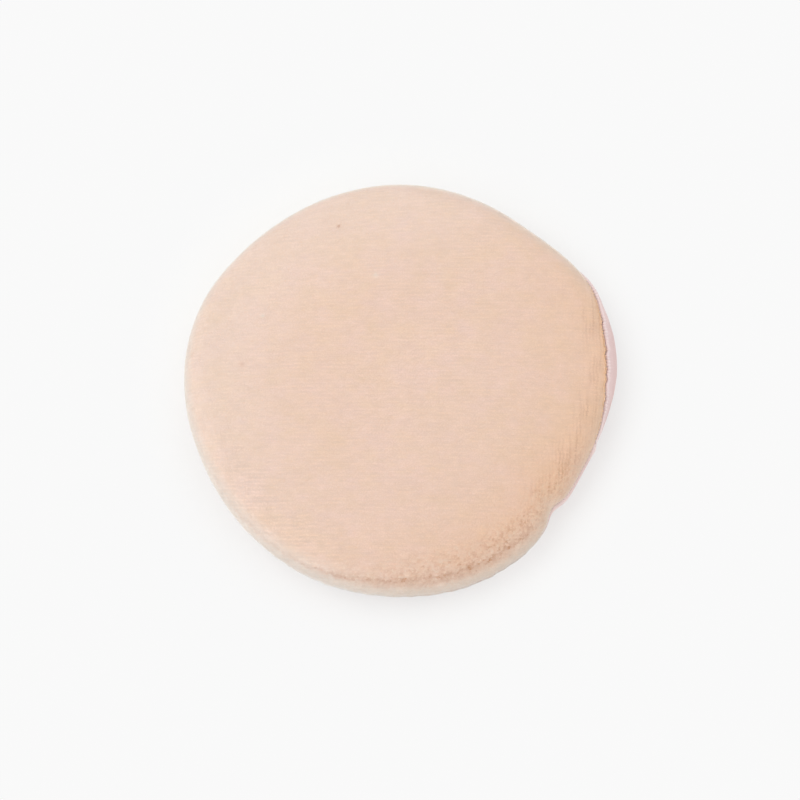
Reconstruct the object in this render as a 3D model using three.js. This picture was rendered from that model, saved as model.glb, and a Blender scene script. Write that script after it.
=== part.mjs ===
// A round powder puff lying face up: a velour face cover and a satin back cover, turned in and sewn together
// round a foam disc, with a ribbon finger band across the back whose two ends are caught in the seam.
// Millimetres, +Z up. The origin is under the middle of the puff, on the surface that it lies on.
// X runs along the band and Y runs along the finger gap.
// Every piece of the pad is described by its section in the upright plane at one angle round the puff.
// A section point is a pair of numbers: how far out it lies from the middle, and how high.

import * as THREE from "three";

// The pad
const puffRadius = 30; // reach of the rim where the outline's share is 1
const padThickness = 7.8; // from the back cover's underside to the top of the face, in the middle
const rimWidth = 4.2; // how far the rounded rim reaches out past the flat of the face
const crownHeight = 0.5; // how much higher the face is in its middle than near its rim
const endDrop = 4; // how much lower the band holds the face down at its two ends
const notchDepth = 0.8; // nick in the rim where the band's end steps the seam
const clearance = 0.3; // between two pieces that touch on the real puff

// The cloths and the foam
const velourThickness = 1.2; // backing and cut pile
const satinThickness = 0.5;
const allowanceLength = 2.6; // width of the edges that are turned in along the seam
const velourAllowanceThickness = 0.8; // the pile is crushed there
const seamOpening = 0.9; // between the two turned-in edges

// The finger band
const ribbonThickness = 0.4;
const ribbonWidth = 22;
const ribbonStrip = 2; // width of each facet across it
const ribbonTail = 1.4; // how deep each end goes into the seam
const fingerGap = 4.8; // height between the middle of the band and the back cover
const archReach = 21; // where the arch of the back cover comes down to the band

// The fold along the front of the face, where the velour rolls over the edge of the foam
const creaseDepth = 0.45;
const bulgeDepth = 0.45;

// The sewing threads
const threadDiameter = 0.2;
const twistRadius = 0.16; // of the two seam threads round each other
const twistPitch = 3; // one stitch
const seamThreadDepth = 2; // how deep they lie in the seam
const stitchPitch = 1.9;
const closingThreadDepth = 0.7;
const stitchHalfWidth = 0.22;
const stitchDipDepth = 0.2;

// Outline of the rim, every 15 degrees from the notched end of the band, as shares of puffRadius
const outlineShares = [
  0.93, 0.923, 0.96, 1.006, 1.014, 0.984, 0.952, 0.956, 0.97, 0.986, 0.995, 0.998,
  1.008, 1.024, 1.02, 1.003, 0.988, 0.982, 0.988, 0.996, 0.991, 0.982, 0.972, 0.956,
];
// Rings of the face and of the back, as shares of the way from the middle to where the rim begins
const faceRingShares = [0.45, 0.8, 1];
const backRingShares = [0.35, 0.5, 0.65, 0.82, 1];
// Rows down the face's shoulder, up the back's and on their inner sides, as shares of the way to the seam
const shoulderShares = [0.1, 0.2, 0.277, 0.36, 0.445, 0.57, 0.72, 0.875];
const undersideShares = [0.25, 0.5, 0.72, 0.88];
const innerShoulderShares = [0.7, 0.35];
// Stations of the band from the seam down round the rim, as shares of the way up from the flat
const ribbonBendShares = [0.88, 0.68, 0.45, 0.22, 0];
const fullnessShare = 0.85; // 1 is a plain ellipse, and less is a fuller side
const archPower = 3; // how long the arch of the back stays level before it comes down
const dropPower = 2.5; // the same for the face

// Angles round the puff, in degrees
const columnAngle = 6; // from one section of the pad to the next
const notchSpreadAngle = 4;
// The seam climbs from under the rim to above it, where the puff was closed by hand
const seamRiseAngles = [-40, 6];
const seamPeakAngles = [18, 46];
const seamFallAngles = [52, 84];
const creaseStartAngle = -110;
const creaseEndAngle = 0;
const creaseBlendAngle = 14;
const machineSeamAngles = [88, 342];
const handSeamAngles = [30, 58];

// Angles in a section of the rim, in degrees: 90 is the top, 0 the widest point and -90 the underside
const seamLowAngle = -35;
const seamShownAngle = 8;
const seamHighAngle = 52;
// The fold runs lower down the side towards its two ends
const creaseAngle = 47;
const creaseFirstAngle = 24;
const creaseLastAngle = 35;
const creaseClimbAngles = [-98, -38];
const creaseDropAngles = [-22, -4];
const creaseSpreadAngle = 13;
const rollAngle = 12;
const rollSpreadAngle = 26;

const underside = ribbonThickness + fingerGap;
const faceTop = underside + padThickness;
const archFoot = ribbonThickness + clearance;
const mouthAngle = THREE.MathUtils.radToDeg(Math.asin(seamOpening / 2 / rimWidth));

const radians = THREE.MathUtils.degToRad;

// 0 before the first of two values, 1 after the second, and a smooth step between them.
function stepped(value, [from, to]) {
  return THREE.MathUtils.smoothstep(value, from, to);
}

// An angle as the same one from -180 to 180.
function wrapped(angle) {
  return THREE.MathUtils.euclideanModulo(angle + 180, 360) - 180;
}

// The bump exp(-t * t), where t is the distance from its middle over its spread.
function bump(value, middle, spread) {
  return Math.exp(-(((value - middle) / spread) ** 2));
}

// Reach of the rim at an angle: a smooth closed curve through the outline's shares, less the notch.
function rimReach(angle) {
  const count = outlineShares.length;
  const place = (THREE.MathUtils.euclideanModulo(angle, 360) / 360) * count;
  const before = Math.floor(place);
  const t = place - before;
  const [a, b, c, d] = [-1, 0, 1, 2].map((k) => outlineShares[(before + k + count) % count]);
  const share = b + (t / 2) * (c - a + t * (2 * a - 5 * b + 4 * c - d + t * (3 * (b - c) + d - a)));
  return puffRadius * share - notchDepth * bump(wrapped(angle), 0, notchSpreadAngle);
}

// Height of the top of the face: crowned in the middle, and drawn down where the band pulls on the rim.
function faceHeight(angle, reach) {
  const along = Math.abs(reach * Math.cos(radians(angle)));
  return faceTop - crownHeight * (reach / puffRadius) ** 2 - endDrop * (along / puffRadius) ** dropPower;
}

// Height of the underside of the back: an arch over the finger gap, which comes down on the band at its ends.
function backHeight(angle, reach) {
  const along = Math.abs(reach * Math.cos(radians(angle)));
  return THREE.MathUtils.lerp(underside, archFoot, Math.min(along / archReach, 1) ** archPower);
}

// Where the rounded rim begins at an angle, and its upright half height and middle.
function rimOf(angle) {
  const start = rimReach(angle) - rimWidth;
  const high = faceHeight(angle, start);
  const low = backHeight(angle, start);
  return { start, middle: (high + low) / 2, half: (high - low) / 2 };
}

// A point of the rounded rim: turn is its angle in the section, and inset its depth under the surface.
function rimPoint(angle, turn, inset = 0) {
  const { start, middle, half } = rimOf(angle);
  const across = Math.abs(Math.cos(radians(turn))) ** fullnessShare;
  const up = Math.sign(turn) * Math.abs(Math.sin(radians(turn))) ** fullnessShare;
  return [start + (rimWidth - inset) * across, middle + (half - inset) * up];
}

// The seam's angle in the section of the rim. It is highest where the puff was closed by hand, so that the
// satin shows there outside the velour.
function seamTurn(angle) {
  const round = wrapped(angle);
  const shown = (seamShownAngle - seamLowAngle) * stepped(round, seamRiseAngles);
  const more = (seamHighAngle - seamShownAngle) * stepped(round, seamPeakAngles);
  return seamLowAngle + (shown + more) * (1 - stepped(round, seamFallAngles));
}

// A point by the seam: depth is how far in it lies, and lift how far towards the face from the seam's middle.
function seamPoint(angle, depth, lift) {
  const { start, middle } = rimOf(angle);
  const [reach, height] = rimPoint(angle, seamTurn(angle));
  const length = Math.hypot(start - reach, middle - height);
  const [inward, upward] = [(start - reach) / length, (middle - height) / length];
  return [reach + depth * inward + lift * upward, height + depth * upward - lift * inward];
}

// How deep the fold along the front goes in at a point of the rim. It is negative where the side bulges.
function foldInset(angle, turn) {
  const round = wrapped(angle);
  const along = stepped(round, [creaseStartAngle - creaseBlendAngle, creaseStartAngle + creaseBlendAngle])
    * (1 - stepped(round, [creaseEndAngle - creaseBlendAngle, creaseEndAngle]));
  const climb = (creaseAngle - creaseFirstAngle) * stepped(round, creaseClimbAngles);
  const drop = (creaseAngle - creaseLastAngle) * stepped(round, creaseDropAngles);
  const fold = creaseDepth * bump(turn, creaseFirstAngle + climb - drop, creaseSpreadAngle);
  const bulge = bulgeDepth * bump(turn, rollAngle, rollSpreadAngle);
  return along * (fold - bulge);
}

// Rings across the face or the back, from the middle out, at a depth under the surface that heightOf gives.
function ringPoints(angle, shares, heightOf, depth) {
  const { start } = rimOf(angle);
  return shares.map((share) => [start * share, heightOf(angle, start * share) + depth]);
}

// Rows of the rim from its top or its underside towards the seam.
function rimRows(angle, shares, from, to, inset, folded = false) {
  return shares.map((share) => {
    const turn = THREE.MathUtils.lerp(from, to, share);
    return rimPoint(angle, turn, inset + (folded ? foldInset(angle, turn) : 0));
  });
}

// Section of the face cover, from its top round the shoulder to the seam, in along it and back inside.
function faceSection(angle) {
  const lip = seamOpening / 2;
  const edge = lip + velourAllowanceThickness;
  const turn = seamTurn(angle);
  const innerTurn = turn + THREE.MathUtils.radToDeg(Math.asin(edge / (rimWidth - velourThickness)));
  return [
    ...ringPoints(angle, faceRingShares, faceHeight, 0),
    ...rimRows(angle, shoulderShares, 90, turn + mouthAngle, 0, true),
    seamPoint(angle, 0, lip),
    seamPoint(angle, allowanceLength, lip),
    seamPoint(angle, allowanceLength, edge),
    seamPoint(angle, velourThickness, edge),
    ...rimRows(angle, innerShoulderShares, 90, innerTurn, velourThickness),
    ...ringPoints(angle, faceRingShares, faceHeight, -velourThickness).reverse(),
  ];
}

// Section of the back cover, the same way up from its underside.
function backSection(angle) {
  const lip = -seamOpening / 2;
  const edge = lip - satinThickness;
  const turn = seamTurn(angle);
  return [
    ...ringPoints(angle, backRingShares, backHeight, 0),
    ...rimRows(angle, undersideShares, -90, turn - mouthAngle, 0),
    seamPoint(angle, 0, lip),
    seamPoint(angle, allowanceLength, lip),
    seamPoint(angle, allowanceLength, edge),
    seamPoint(angle, satinThickness, edge),
    ...rimRows(angle, innerShoulderShares, -90, turn - mouthAngle, satinThickness),
    ...ringPoints(angle, backRingShares, backHeight, satinThickness).reverse(),
  ];
}

// Section of the foam disc, which stops short of the turned-in edges.
function foamSection(angle) {
  const start = rimOf(angle).start - clearance;
  const onFace = (share) => [start * share, faceHeight(angle, start * share) - velourThickness - clearance];
  const onBack = (share) => [start * share, backHeight(angle, start * share) + satinThickness + clearance];
  return [...faceRingShares.map(onFace), ...backRingShares.map(onBack).reverse()];
}

// A point of the puff, from its angle and its section point.
function placed(angle, [reach, height]) {
  return [reach * Math.cos(radians(angle)), reach * Math.sin(radians(angle)), height];
}

// A named mesh from its points and from its triangles of point numbers.
function meshOf(name, points, faces, material) {
  const geometry = new THREE.BufferGeometry();
  geometry.setAttribute("position", new THREE.Float32BufferAttribute(points.flat(), 3));
  geometry.setIndex(faces.flat());
  geometry.computeVertexNormals();
  const mesh = new THREE.Mesh(geometry, material);
  mesh.name = name;
  return mesh;
}

// A body whose sections turn round the puff's middle. It is closed by a point on the axis at each end.
function turnedBody(name, sectionOf, [topPole, lastPole], facesUp, material) {
  const columns = Math.round(360 / columnAngle);
  const angles = Array.from({ length: columns }, (_, i) => (360 / columns) * i);
  const sections = angles.map(sectionOf);
  const rows = sections[0].length;
  const points = sections.flatMap((section, i) => section.map((point) => placed(angles[i], point)));
  points.push([0, 0, topPole], [0, 0, lastPole]);
  const [first, last] = [points.length - 2, points.length - 1];
  const faces = [];
  for (let i = 0; i < columns; i++) {
    const here = i * rows;
    const next = ((i + 1) % columns) * rows;
    faces.push([first, here, next], [last, next + rows - 1, here + rows - 1]);
    for (let k = 0; k < rows - 1; k++) {
      faces.push([here + k, here + k + 1, next + k + 1], [here + k, next + k + 1, next + k]);
    }
  }
  return meshOf(name, points, facesUp ? faces : faces.map(([a, b, c]) => [a, c, b]), material);
}

// The two faces of the ribbon on one line along it, at a distance to one side of its middle line.
// Each end lies in the seam, comes out and turns down round the rim, and the ribbon then lies flat.
function ribbonLine(side) {
  const half = ribbonThickness / 2;
  const [near, far] = [-clearance, -clearance - ribbonThickness];
  const stations = [
    (angle) => [seamPoint(angle, ribbonTail, -half), seamPoint(angle, ribbonTail, half)],
    (angle) => [seamPoint(angle, near, -half), seamPoint(angle, far, half)],
    ...ribbonBendShares.map((share) => (angle) => {
      const turn = THREE.MathUtils.lerp(-90, seamTurn(angle) - mouthAngle, share);
      return [rimPoint(angle, turn, near), rimPoint(angle, turn, far)];
    }),
  ];
  // The angle at which a section point lies on this line, found by trying again from the last one.
  const onLine = (section, towards) => {
    let angle = towards;
    for (let tries = 0; tries < 8; tries++) {
      const slant = THREE.MathUtils.radToDeg(Math.asin(side / section(angle)[0]));
      angle = towards === 0 ? slant : 180 - slant;
    }
    return placed(angle, section(angle));
  };
  const endAt = (towards) =>
    stations.map((pair) => [0, 1].map((k) => onLine((angle) => pair(angle)[k], towards)));
  return [...endAt(180), ...endAt(0).reverse()];
}

// The finger band, a strip of lines side by side.
function fingerBand(material) {
  const lines = Math.round(ribbonWidth / ribbonStrip);
  const strip = Array.from({ length: lines + 1 }, (_, i) => ribbonLine(ribbonWidth * (i / lines - 1 / 2)));
  const stations = strip[0].length;
  const points = strip.flatMap((line) => line.flat());
  const at = (line, station, face) => (line * stations + station) * 2 + face;
  const faces = [];
  const quad = (a, b, c, d) => faces.push([a, b, c], [a, c, d]);
  for (let i = 0; i <= lines; i++) {
    for (let k = 0; k < stations - 1; k++) {
      if (i < lines) {
        quad(at(i, k, 0), at(i, k + 1, 0), at(i + 1, k + 1, 0), at(i + 1, k, 0));
        quad(at(i, k, 1), at(i + 1, k, 1), at(i + 1, k + 1, 1), at(i, k + 1, 1));
      }
      if (i === 0) quad(at(i, k, 0), at(i, k, 1), at(i, k + 1, 1), at(i, k + 1, 0));
      if (i === lines) quad(at(i, k, 0), at(i, k + 1, 0), at(i, k + 1, 1), at(i, k, 1));
    }
    if (i < lines) {
      quad(at(i, 0, 0), at(i + 1, 0, 0), at(i + 1, 0, 1), at(i, 0, 1));
      const k = stations - 1;
      quad(at(i, k, 0), at(i, k, 1), at(i + 1, k, 1), at(i + 1, k, 0));
    }
  }
  return meshOf("finger_band", points, faces, material);
}

// A thread in the seam from one angle to another. wave gives its depth and lift after a number of stitches.
function threadOf(name, [from, to], pitch, steps, wave, material) {
  const sides = 4;
  const length = radians(to - from) * (puffRadius - seamThreadDepth);
  const count = Math.round(length / pitch) * steps;
  const route = Array.from({ length: count + 1 }, (_, i) => {
    const angle = THREE.MathUtils.lerp(from, to, i / count);
    return new THREE.Vector3(...placed(angle, seamPoint(angle, ...wave(i / steps))));
  });
  const points = [];
  route.forEach((point, i) => {
    const ahead = route[Math.min(i + 1, count)].clone().sub(route[Math.max(i - 1, 0)]).normalize();
    const out = new THREE.Vector3(point.x, point.y, 0).normalize();
    const up = new THREE.Vector3().crossVectors(out, ahead).normalize();
    const across = new THREE.Vector3().crossVectors(ahead, up);
    for (let k = 0; k < sides; k++) {
      const turn = (2 * Math.PI * k) / sides;
      const corner = point.clone()
        .addScaledVector(across, (threadDiameter / 2) * Math.cos(turn))
        .addScaledVector(up, (threadDiameter / 2) * Math.sin(turn));
      points.push(corner.toArray());
    }
  });
  const faces = [];
  for (let i = 0; i < count; i++) {
    for (let k = 0; k < sides; k++) {
      const [a, b] = [i * sides + k, i * sides + ((k + 1) % sides)];
      faces.push([a, b + sides, b], [a, a + sides, b + sides]);
    }
  }
  const end = count * sides;
  faces.push([0, 1, 2], [0, 2, 3], [end, end + 2, end + 1], [end, end + 3, end + 2]);
  return meshOf(name, points, faces, material);
}

// A seam thread winds once round the other for each stitch, from a share of a turn.
function twisted(startShare) {
  return (stitch) => {
    const turn = 2 * Math.PI * (stitch + startShare);
    return [seamThreadDepth + twistRadius * Math.cos(turn), twistRadius * Math.sin(turn)];
  };
}

// The closing thread steps from one turned-in edge to the other and dips in between.
function laddered(stitch) {
  const turn = 2 * Math.PI * stitch;
  return [closingThreadDepth + stitchDipDepth * Math.cos(2 * turn), stitchHalfWidth * Math.sin(turn)];
}

const velour = new THREE.MeshStandardMaterial({ color: 0xeccdb9, roughness: 0.95, metalness: 0 });
const satin = new THREE.MeshStandardMaterial({ color: 0xe2c2c0, roughness: 0.42, metalness: 0 });
const ribbon = new THREE.MeshStandardMaterial({ color: 0xe8cac6, roughness: 0.38, metalness: 0 });
const foam = new THREE.MeshStandardMaterial({ color: 0xf1e6cf, roughness: 0.9, metalness: 0 });
const thread = new THREE.MeshStandardMaterial({ color: 0xecd6cf, roughness: 0.6, metalness: 0 });

const puff = new THREE.Group();
puff.add(
  turnedBody("face_cover", faceSection, [faceTop, faceTop - velourThickness], true, velour),
  turnedBody("back_cover", backSection, [underside, underside + satinThickness], false, satin),
  turnedBody(
    "foam_core",
    foamSection,
    [faceTop - velourThickness - clearance, underside + satinThickness + clearance],
    true,
    foam,
  ),
  fingerBand(ribbon),
  threadOf("needle_thread", machineSeamAngles, twistPitch, 6, twisted(0), thread),
  threadOf("bobbin_thread", machineSeamAngles, twistPitch, 6, twisted(1 / 2), thread),
  threadOf("closing_thread", handSeamAngles, stitchPitch, 8, laddered, thread),
);

export default puff;
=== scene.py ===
"""Looks of a round powder puff that lies face up on its ribbon finger band.

The puff has a velour face cover with a cut pile, a satin back cover, a foam disc inside, a satin ribbon across
the back, and three sewing threads. Every new piece is a surface worked out from the sections of the pad, which
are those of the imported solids. Lengths are in metres and angles are in degrees unless a name says otherwise.
An angle round the puff starts at the notched end of the band. An angle in a section of the rim is 90 at the
top, 0 at the widest point and -90 on the underside.
"""

import logging
from dataclasses import dataclass, field
from enum import Enum
from typing import Callable

import bpy
import numpy as np
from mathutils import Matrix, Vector


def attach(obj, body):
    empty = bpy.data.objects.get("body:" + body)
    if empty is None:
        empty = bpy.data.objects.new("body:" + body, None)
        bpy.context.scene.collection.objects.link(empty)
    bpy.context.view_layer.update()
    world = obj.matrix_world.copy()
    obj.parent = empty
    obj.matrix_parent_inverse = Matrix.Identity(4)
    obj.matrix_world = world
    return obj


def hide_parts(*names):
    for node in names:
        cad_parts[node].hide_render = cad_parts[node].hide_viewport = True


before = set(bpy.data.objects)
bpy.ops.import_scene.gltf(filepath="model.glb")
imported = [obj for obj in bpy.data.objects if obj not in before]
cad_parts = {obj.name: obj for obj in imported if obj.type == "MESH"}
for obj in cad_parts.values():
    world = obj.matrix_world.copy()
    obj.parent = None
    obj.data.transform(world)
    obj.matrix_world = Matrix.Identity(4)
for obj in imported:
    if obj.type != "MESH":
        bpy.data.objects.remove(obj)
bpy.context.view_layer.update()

Array = np.ndarray
MM = 0.001
BODY = "root"
LOG = logging.getLogger("powder_puff")


class Slot(Enum):
    """Names of the material slots."""

    VELOUR = "velour"
    SATIN = "satin"
    FOAM = "foam"
    RIBBON = "ribbon"
    THREAD = "thread"


def stepped(value: Array, limits: tuple[float, float]) -> Array:
    """Smooth step from 0 at the first limit to 1 at the second: 3 t^2 - 2 t^3."""
    t = np.clip((value - limits[0]) / (limits[1] - limits[0]), 0, 1)
    return t * t * (3 - 2 * t)


def wrapped(angle: Array) -> Array:
    """An angle as the same one from -180 to 180."""
    return (np.asarray(angle) + 180) % 360 - 180


def bump(value: Array, middle: float, spread: float) -> Array:
    """The bump exp(-t^2), where t is the distance from its middle over its spread."""
    return np.exp(-(((value - middle) / spread) ** 2))


def unit(vectors: Array) -> Array:
    """Vectors along the last axis, made one long."""
    return vectors / np.maximum(np.linalg.norm(vectors, axis=-1, keepdims=True), 1e-12)


def patches(u: Array, v: Array, size: float, seed: int) -> Array:
    """Smooth noise from -1 to 1: random values on a square lattice, blended by smooth steps between its knots.

    Args:
        u: First coordinate of each point, in metres.
        v: Second coordinate, of the same shape.
        size: Distance between knots.
        seed: Picks the random values.

    Returns:
        The noise at each point.
    """
    knots = 64
    lattice = np.random.default_rng(seed).uniform(-1, 1, (knots, knots))
    x, y = u / size, v / size
    i, j = np.floor(x).astype(int), np.floor(y).astype(int)
    fx, fy = stepped(x - i, (0, 1)), stepped(y - j, (0, 1))
    i, j = i % knots, j % knots
    i2, j2 = (i + 1) % knots, (j + 1) % knots
    low = lattice[i, j] * (1 - fx) + lattice[i2, j] * fx
    high = lattice[i, j2] * (1 - fx) + lattice[i2, j2] * fx
    return low * (1 - fy) + high * fy


def ripple(angle: Array, counts: tuple[int, ...], seed: int) -> Array:
    """Waves round the puff, about -1 to 1: the mean of one sine for each count, each with its own phase."""
    phases = np.random.default_rng(seed).uniform(0, 2 * np.pi, len(counts))
    turns = [np.sin(count * np.radians(angle) + phase) for count, phase in zip(counts, phases)]
    return sum(turns) / len(counts) ** 0.5


@dataclass(frozen=True)
class PuffShape:
    """Sizes of the pad and the sections of its rim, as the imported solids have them.

    Only the stretch where the satin shows is about ten degrees longer than theirs at its far end, as it is in
    the photograph.
    """

    radius: float = 30 * MM
    pad_thickness: float = 7.8 * MM
    rim_width: float = 4.2 * MM
    crown: float = 0.5 * MM
    end_drop: float = 4 * MM
    notch_depth: float = 0.8 * MM
    clearance: float = 0.3 * MM
    ribbon_thickness: float = 0.4 * MM
    ribbon_width: float = 22 * MM
    finger_gap: float = 4.8 * MM
    arch_reach: float = 21 * MM
    crease_depth: float = 0.45 * MM
    bulge_depth: float = 0.45 * MM
    outline_shares: tuple[float, ...] = (
        0.93, 0.923, 0.96, 1.006, 1.014, 0.984, 0.952, 0.956, 0.97, 0.986, 0.995, 0.998,
        1.008, 1.024, 1.02, 1.003, 0.988, 0.982, 0.988, 0.996, 0.991, 0.982, 0.972, 0.956,
    )
    fullness: float = 0.85
    arch_power: float = 3
    drop_power: float = 2.5
    notch_spread: float = 4
    seam_rise: tuple[float, float] = (-40, 6)
    seam_peak: tuple[float, float] = (14, 46)
    seam_fall: tuple[float, float] = (50, 94)
    seam_low: float = -35
    seam_shown: float = 5
    seam_high: float = 55
    seam_wander: float = 1.6
    hand_middle: float = 44
    hand_spread: float = 20
    crease_start: float = -110
    crease_end: float = 0
    crease_blend: float = 14
    crease_turn: float = 47
    crease_low_turn: float = 24
    crease_last_turn: float = 35
    crease_spread: float = 13
    crease_wander: float = 3
    crease_left: float = 0.4
    crease_ripple: float = 0.13
    crease_climb: tuple[float, float] = (-98, -38)
    crease_drop: tuple[float, float] = (-22, -4)
    roll_turn: float = 12
    roll_spread: float = 26

    def underside(self) -> float:
        """Height of the back in the middle of the arch."""
        return self.ribbon_thickness + self.finger_gap

    def face_top(self) -> float:
        """Height of the face in its middle."""
        return self.underside() + self.pad_thickness

    def rim_reach(self, angle: Array) -> Array:
        """Reach of the rim: a smooth closed cubic through the outline's shares, less the notch."""
        shares = np.array(self.outline_shares)
        place = np.asarray(angle) % 360 / 360 * len(shares)
        before = np.floor(place).astype(int)
        t = place - before
        a, b, c, d = (shares[(before + k) % len(shares)] for k in (-1, 0, 1, 2))
        share = b + t / 2 * (c - a + t * (2 * a - 5 * b + 4 * c - d + t * (3 * (b - c) + d - a)))
        return self.radius * share - self.notch_depth * bump(wrapped(angle), 0, self.notch_spread)

    def face_height(self, angle: Array, reach: Array) -> Array:
        """Height of the face: crowned in the middle, and drawn down at the two ends of the band."""
        along = np.abs(reach * np.cos(np.radians(angle))) / self.radius
        crowned = self.face_top() - self.crown * (reach / self.radius) ** 2
        return crowned - self.end_drop * along**self.drop_power

    def back_height(self, angle: Array, reach: Array) -> Array:
        """Height of the back: an arch over the finger gap that comes down on the band at its ends."""
        along = np.minimum(np.abs(reach * np.cos(np.radians(angle))) / self.arch_reach, 1)
        foot = self.ribbon_thickness + self.clearance
        return self.underside() + (foot - self.underside()) * along**self.arch_power

    def rim(self, angle: Array) -> tuple[Array, Array, Array]:
        """Where the rounded rim begins at an angle, the height of its middle, and its upright half height."""
        start = self.rim_reach(angle) - self.rim_width
        high, low = self.face_height(angle, start), self.back_height(angle, start)
        return start, (high + low) / 2, (high - low) / 2

    def rim_point(self, angle: Array, turn: Array, inset: Array | float = 0) -> Array:
        """Section point of the rounded rim, a full ellipse |cos|^f by |sin|^f, so deep under the surface."""
        start, middle, half = self.rim(angle)
        across = np.abs(np.cos(np.radians(turn))) ** self.fullness
        up = np.sign(turn) * np.abs(np.sin(np.radians(turn))) ** self.fullness
        reach = start + (self.rim_width - inset) * across
        return np.stack(np.broadcast_arrays(reach, middle + (half - inset) * up), -1)

    def seam_turn(self, angle: Array) -> Array:
        """The seam's angle in the section, which is highest where the puff was closed by hand."""
        around = wrapped(angle)
        shown = (self.seam_shown - self.seam_low) * stepped(around, self.seam_rise)
        more = (self.seam_high - self.seam_shown) * stepped(around, self.seam_peak)
        turn = self.seam_low + (shown + more) * (1 - stepped(around, self.seam_fall))
        by_hand = bump(around, self.hand_middle, self.hand_spread)
        return turn + self.seam_wander * ripple(angle, (47, 83, 131), 54) * by_hand

    def seam_point(self, angle: Array, depth: Array | float, lift: Array | float) -> Array:
        """Section point by the seam: so deep in, and so far towards the face from the seam's middle."""
        start, middle, _ = self.rim(angle)
        edge = self.rim_point(angle, self.seam_turn(angle))
        inward = unit(np.stack([start - edge[..., 0], middle - edge[..., 1]], -1))
        reach = edge[..., 0] + depth * inward[..., 0] + lift * inward[..., 1]
        height = edge[..., 1] + depth * inward[..., 1] - lift * inward[..., 0]
        return np.stack(np.broadcast_arrays(reach, height), -1)

    def fold_along(self, angle: Array) -> Array:
        """How far the fold along the front is there at an angle, from 0 to 1."""
        around = wrapped(angle)
        starts = stepped(around, (self.crease_start - self.crease_blend, self.crease_start + self.crease_blend))
        return starts * (1 - stepped(around, (self.crease_end - self.crease_blend, self.crease_end)))

    def fold_turn(self, angle: Array) -> Array:
        """The fold's angle in the section, which is lower towards its two ends."""
        around = wrapped(angle)
        climb = (self.crease_turn - self.crease_low_turn) * stepped(around, self.crease_climb)
        drop = (self.crease_turn - self.crease_last_turn) * stepped(around, self.crease_drop)
        return self.crease_low_turn + climb - drop

    def fold_inset(self, angle: Array, turn: Array) -> Array:
        """How deep the fold along the front goes in, negative where the side bulges below it."""
        fold = self.crease_depth * bump(turn, self.fold_turn(angle), self.crease_spread)
        bulge = self.bulge_depth * bump(turn, self.roll_turn, self.roll_spread)
        return self.fold_along(angle) * (fold - bulge)


SHAPE = PuffShape()


def placed(angle: Array, section: Array) -> Array:
    """Points of the puff from their angles and section points.

    Args:
        angle: Angles round the puff.
        section: Section points, reach and height, along the last axis.

    Returns:
        Points x, y, z along the last axis.
    """
    turn = np.radians(angle)
    x, y = section[..., 0] * np.cos(turn), section[..., 0] * np.sin(turn)
    return np.stack(np.broadcast_arrays(x, y, section[..., 1]), -1)


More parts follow.
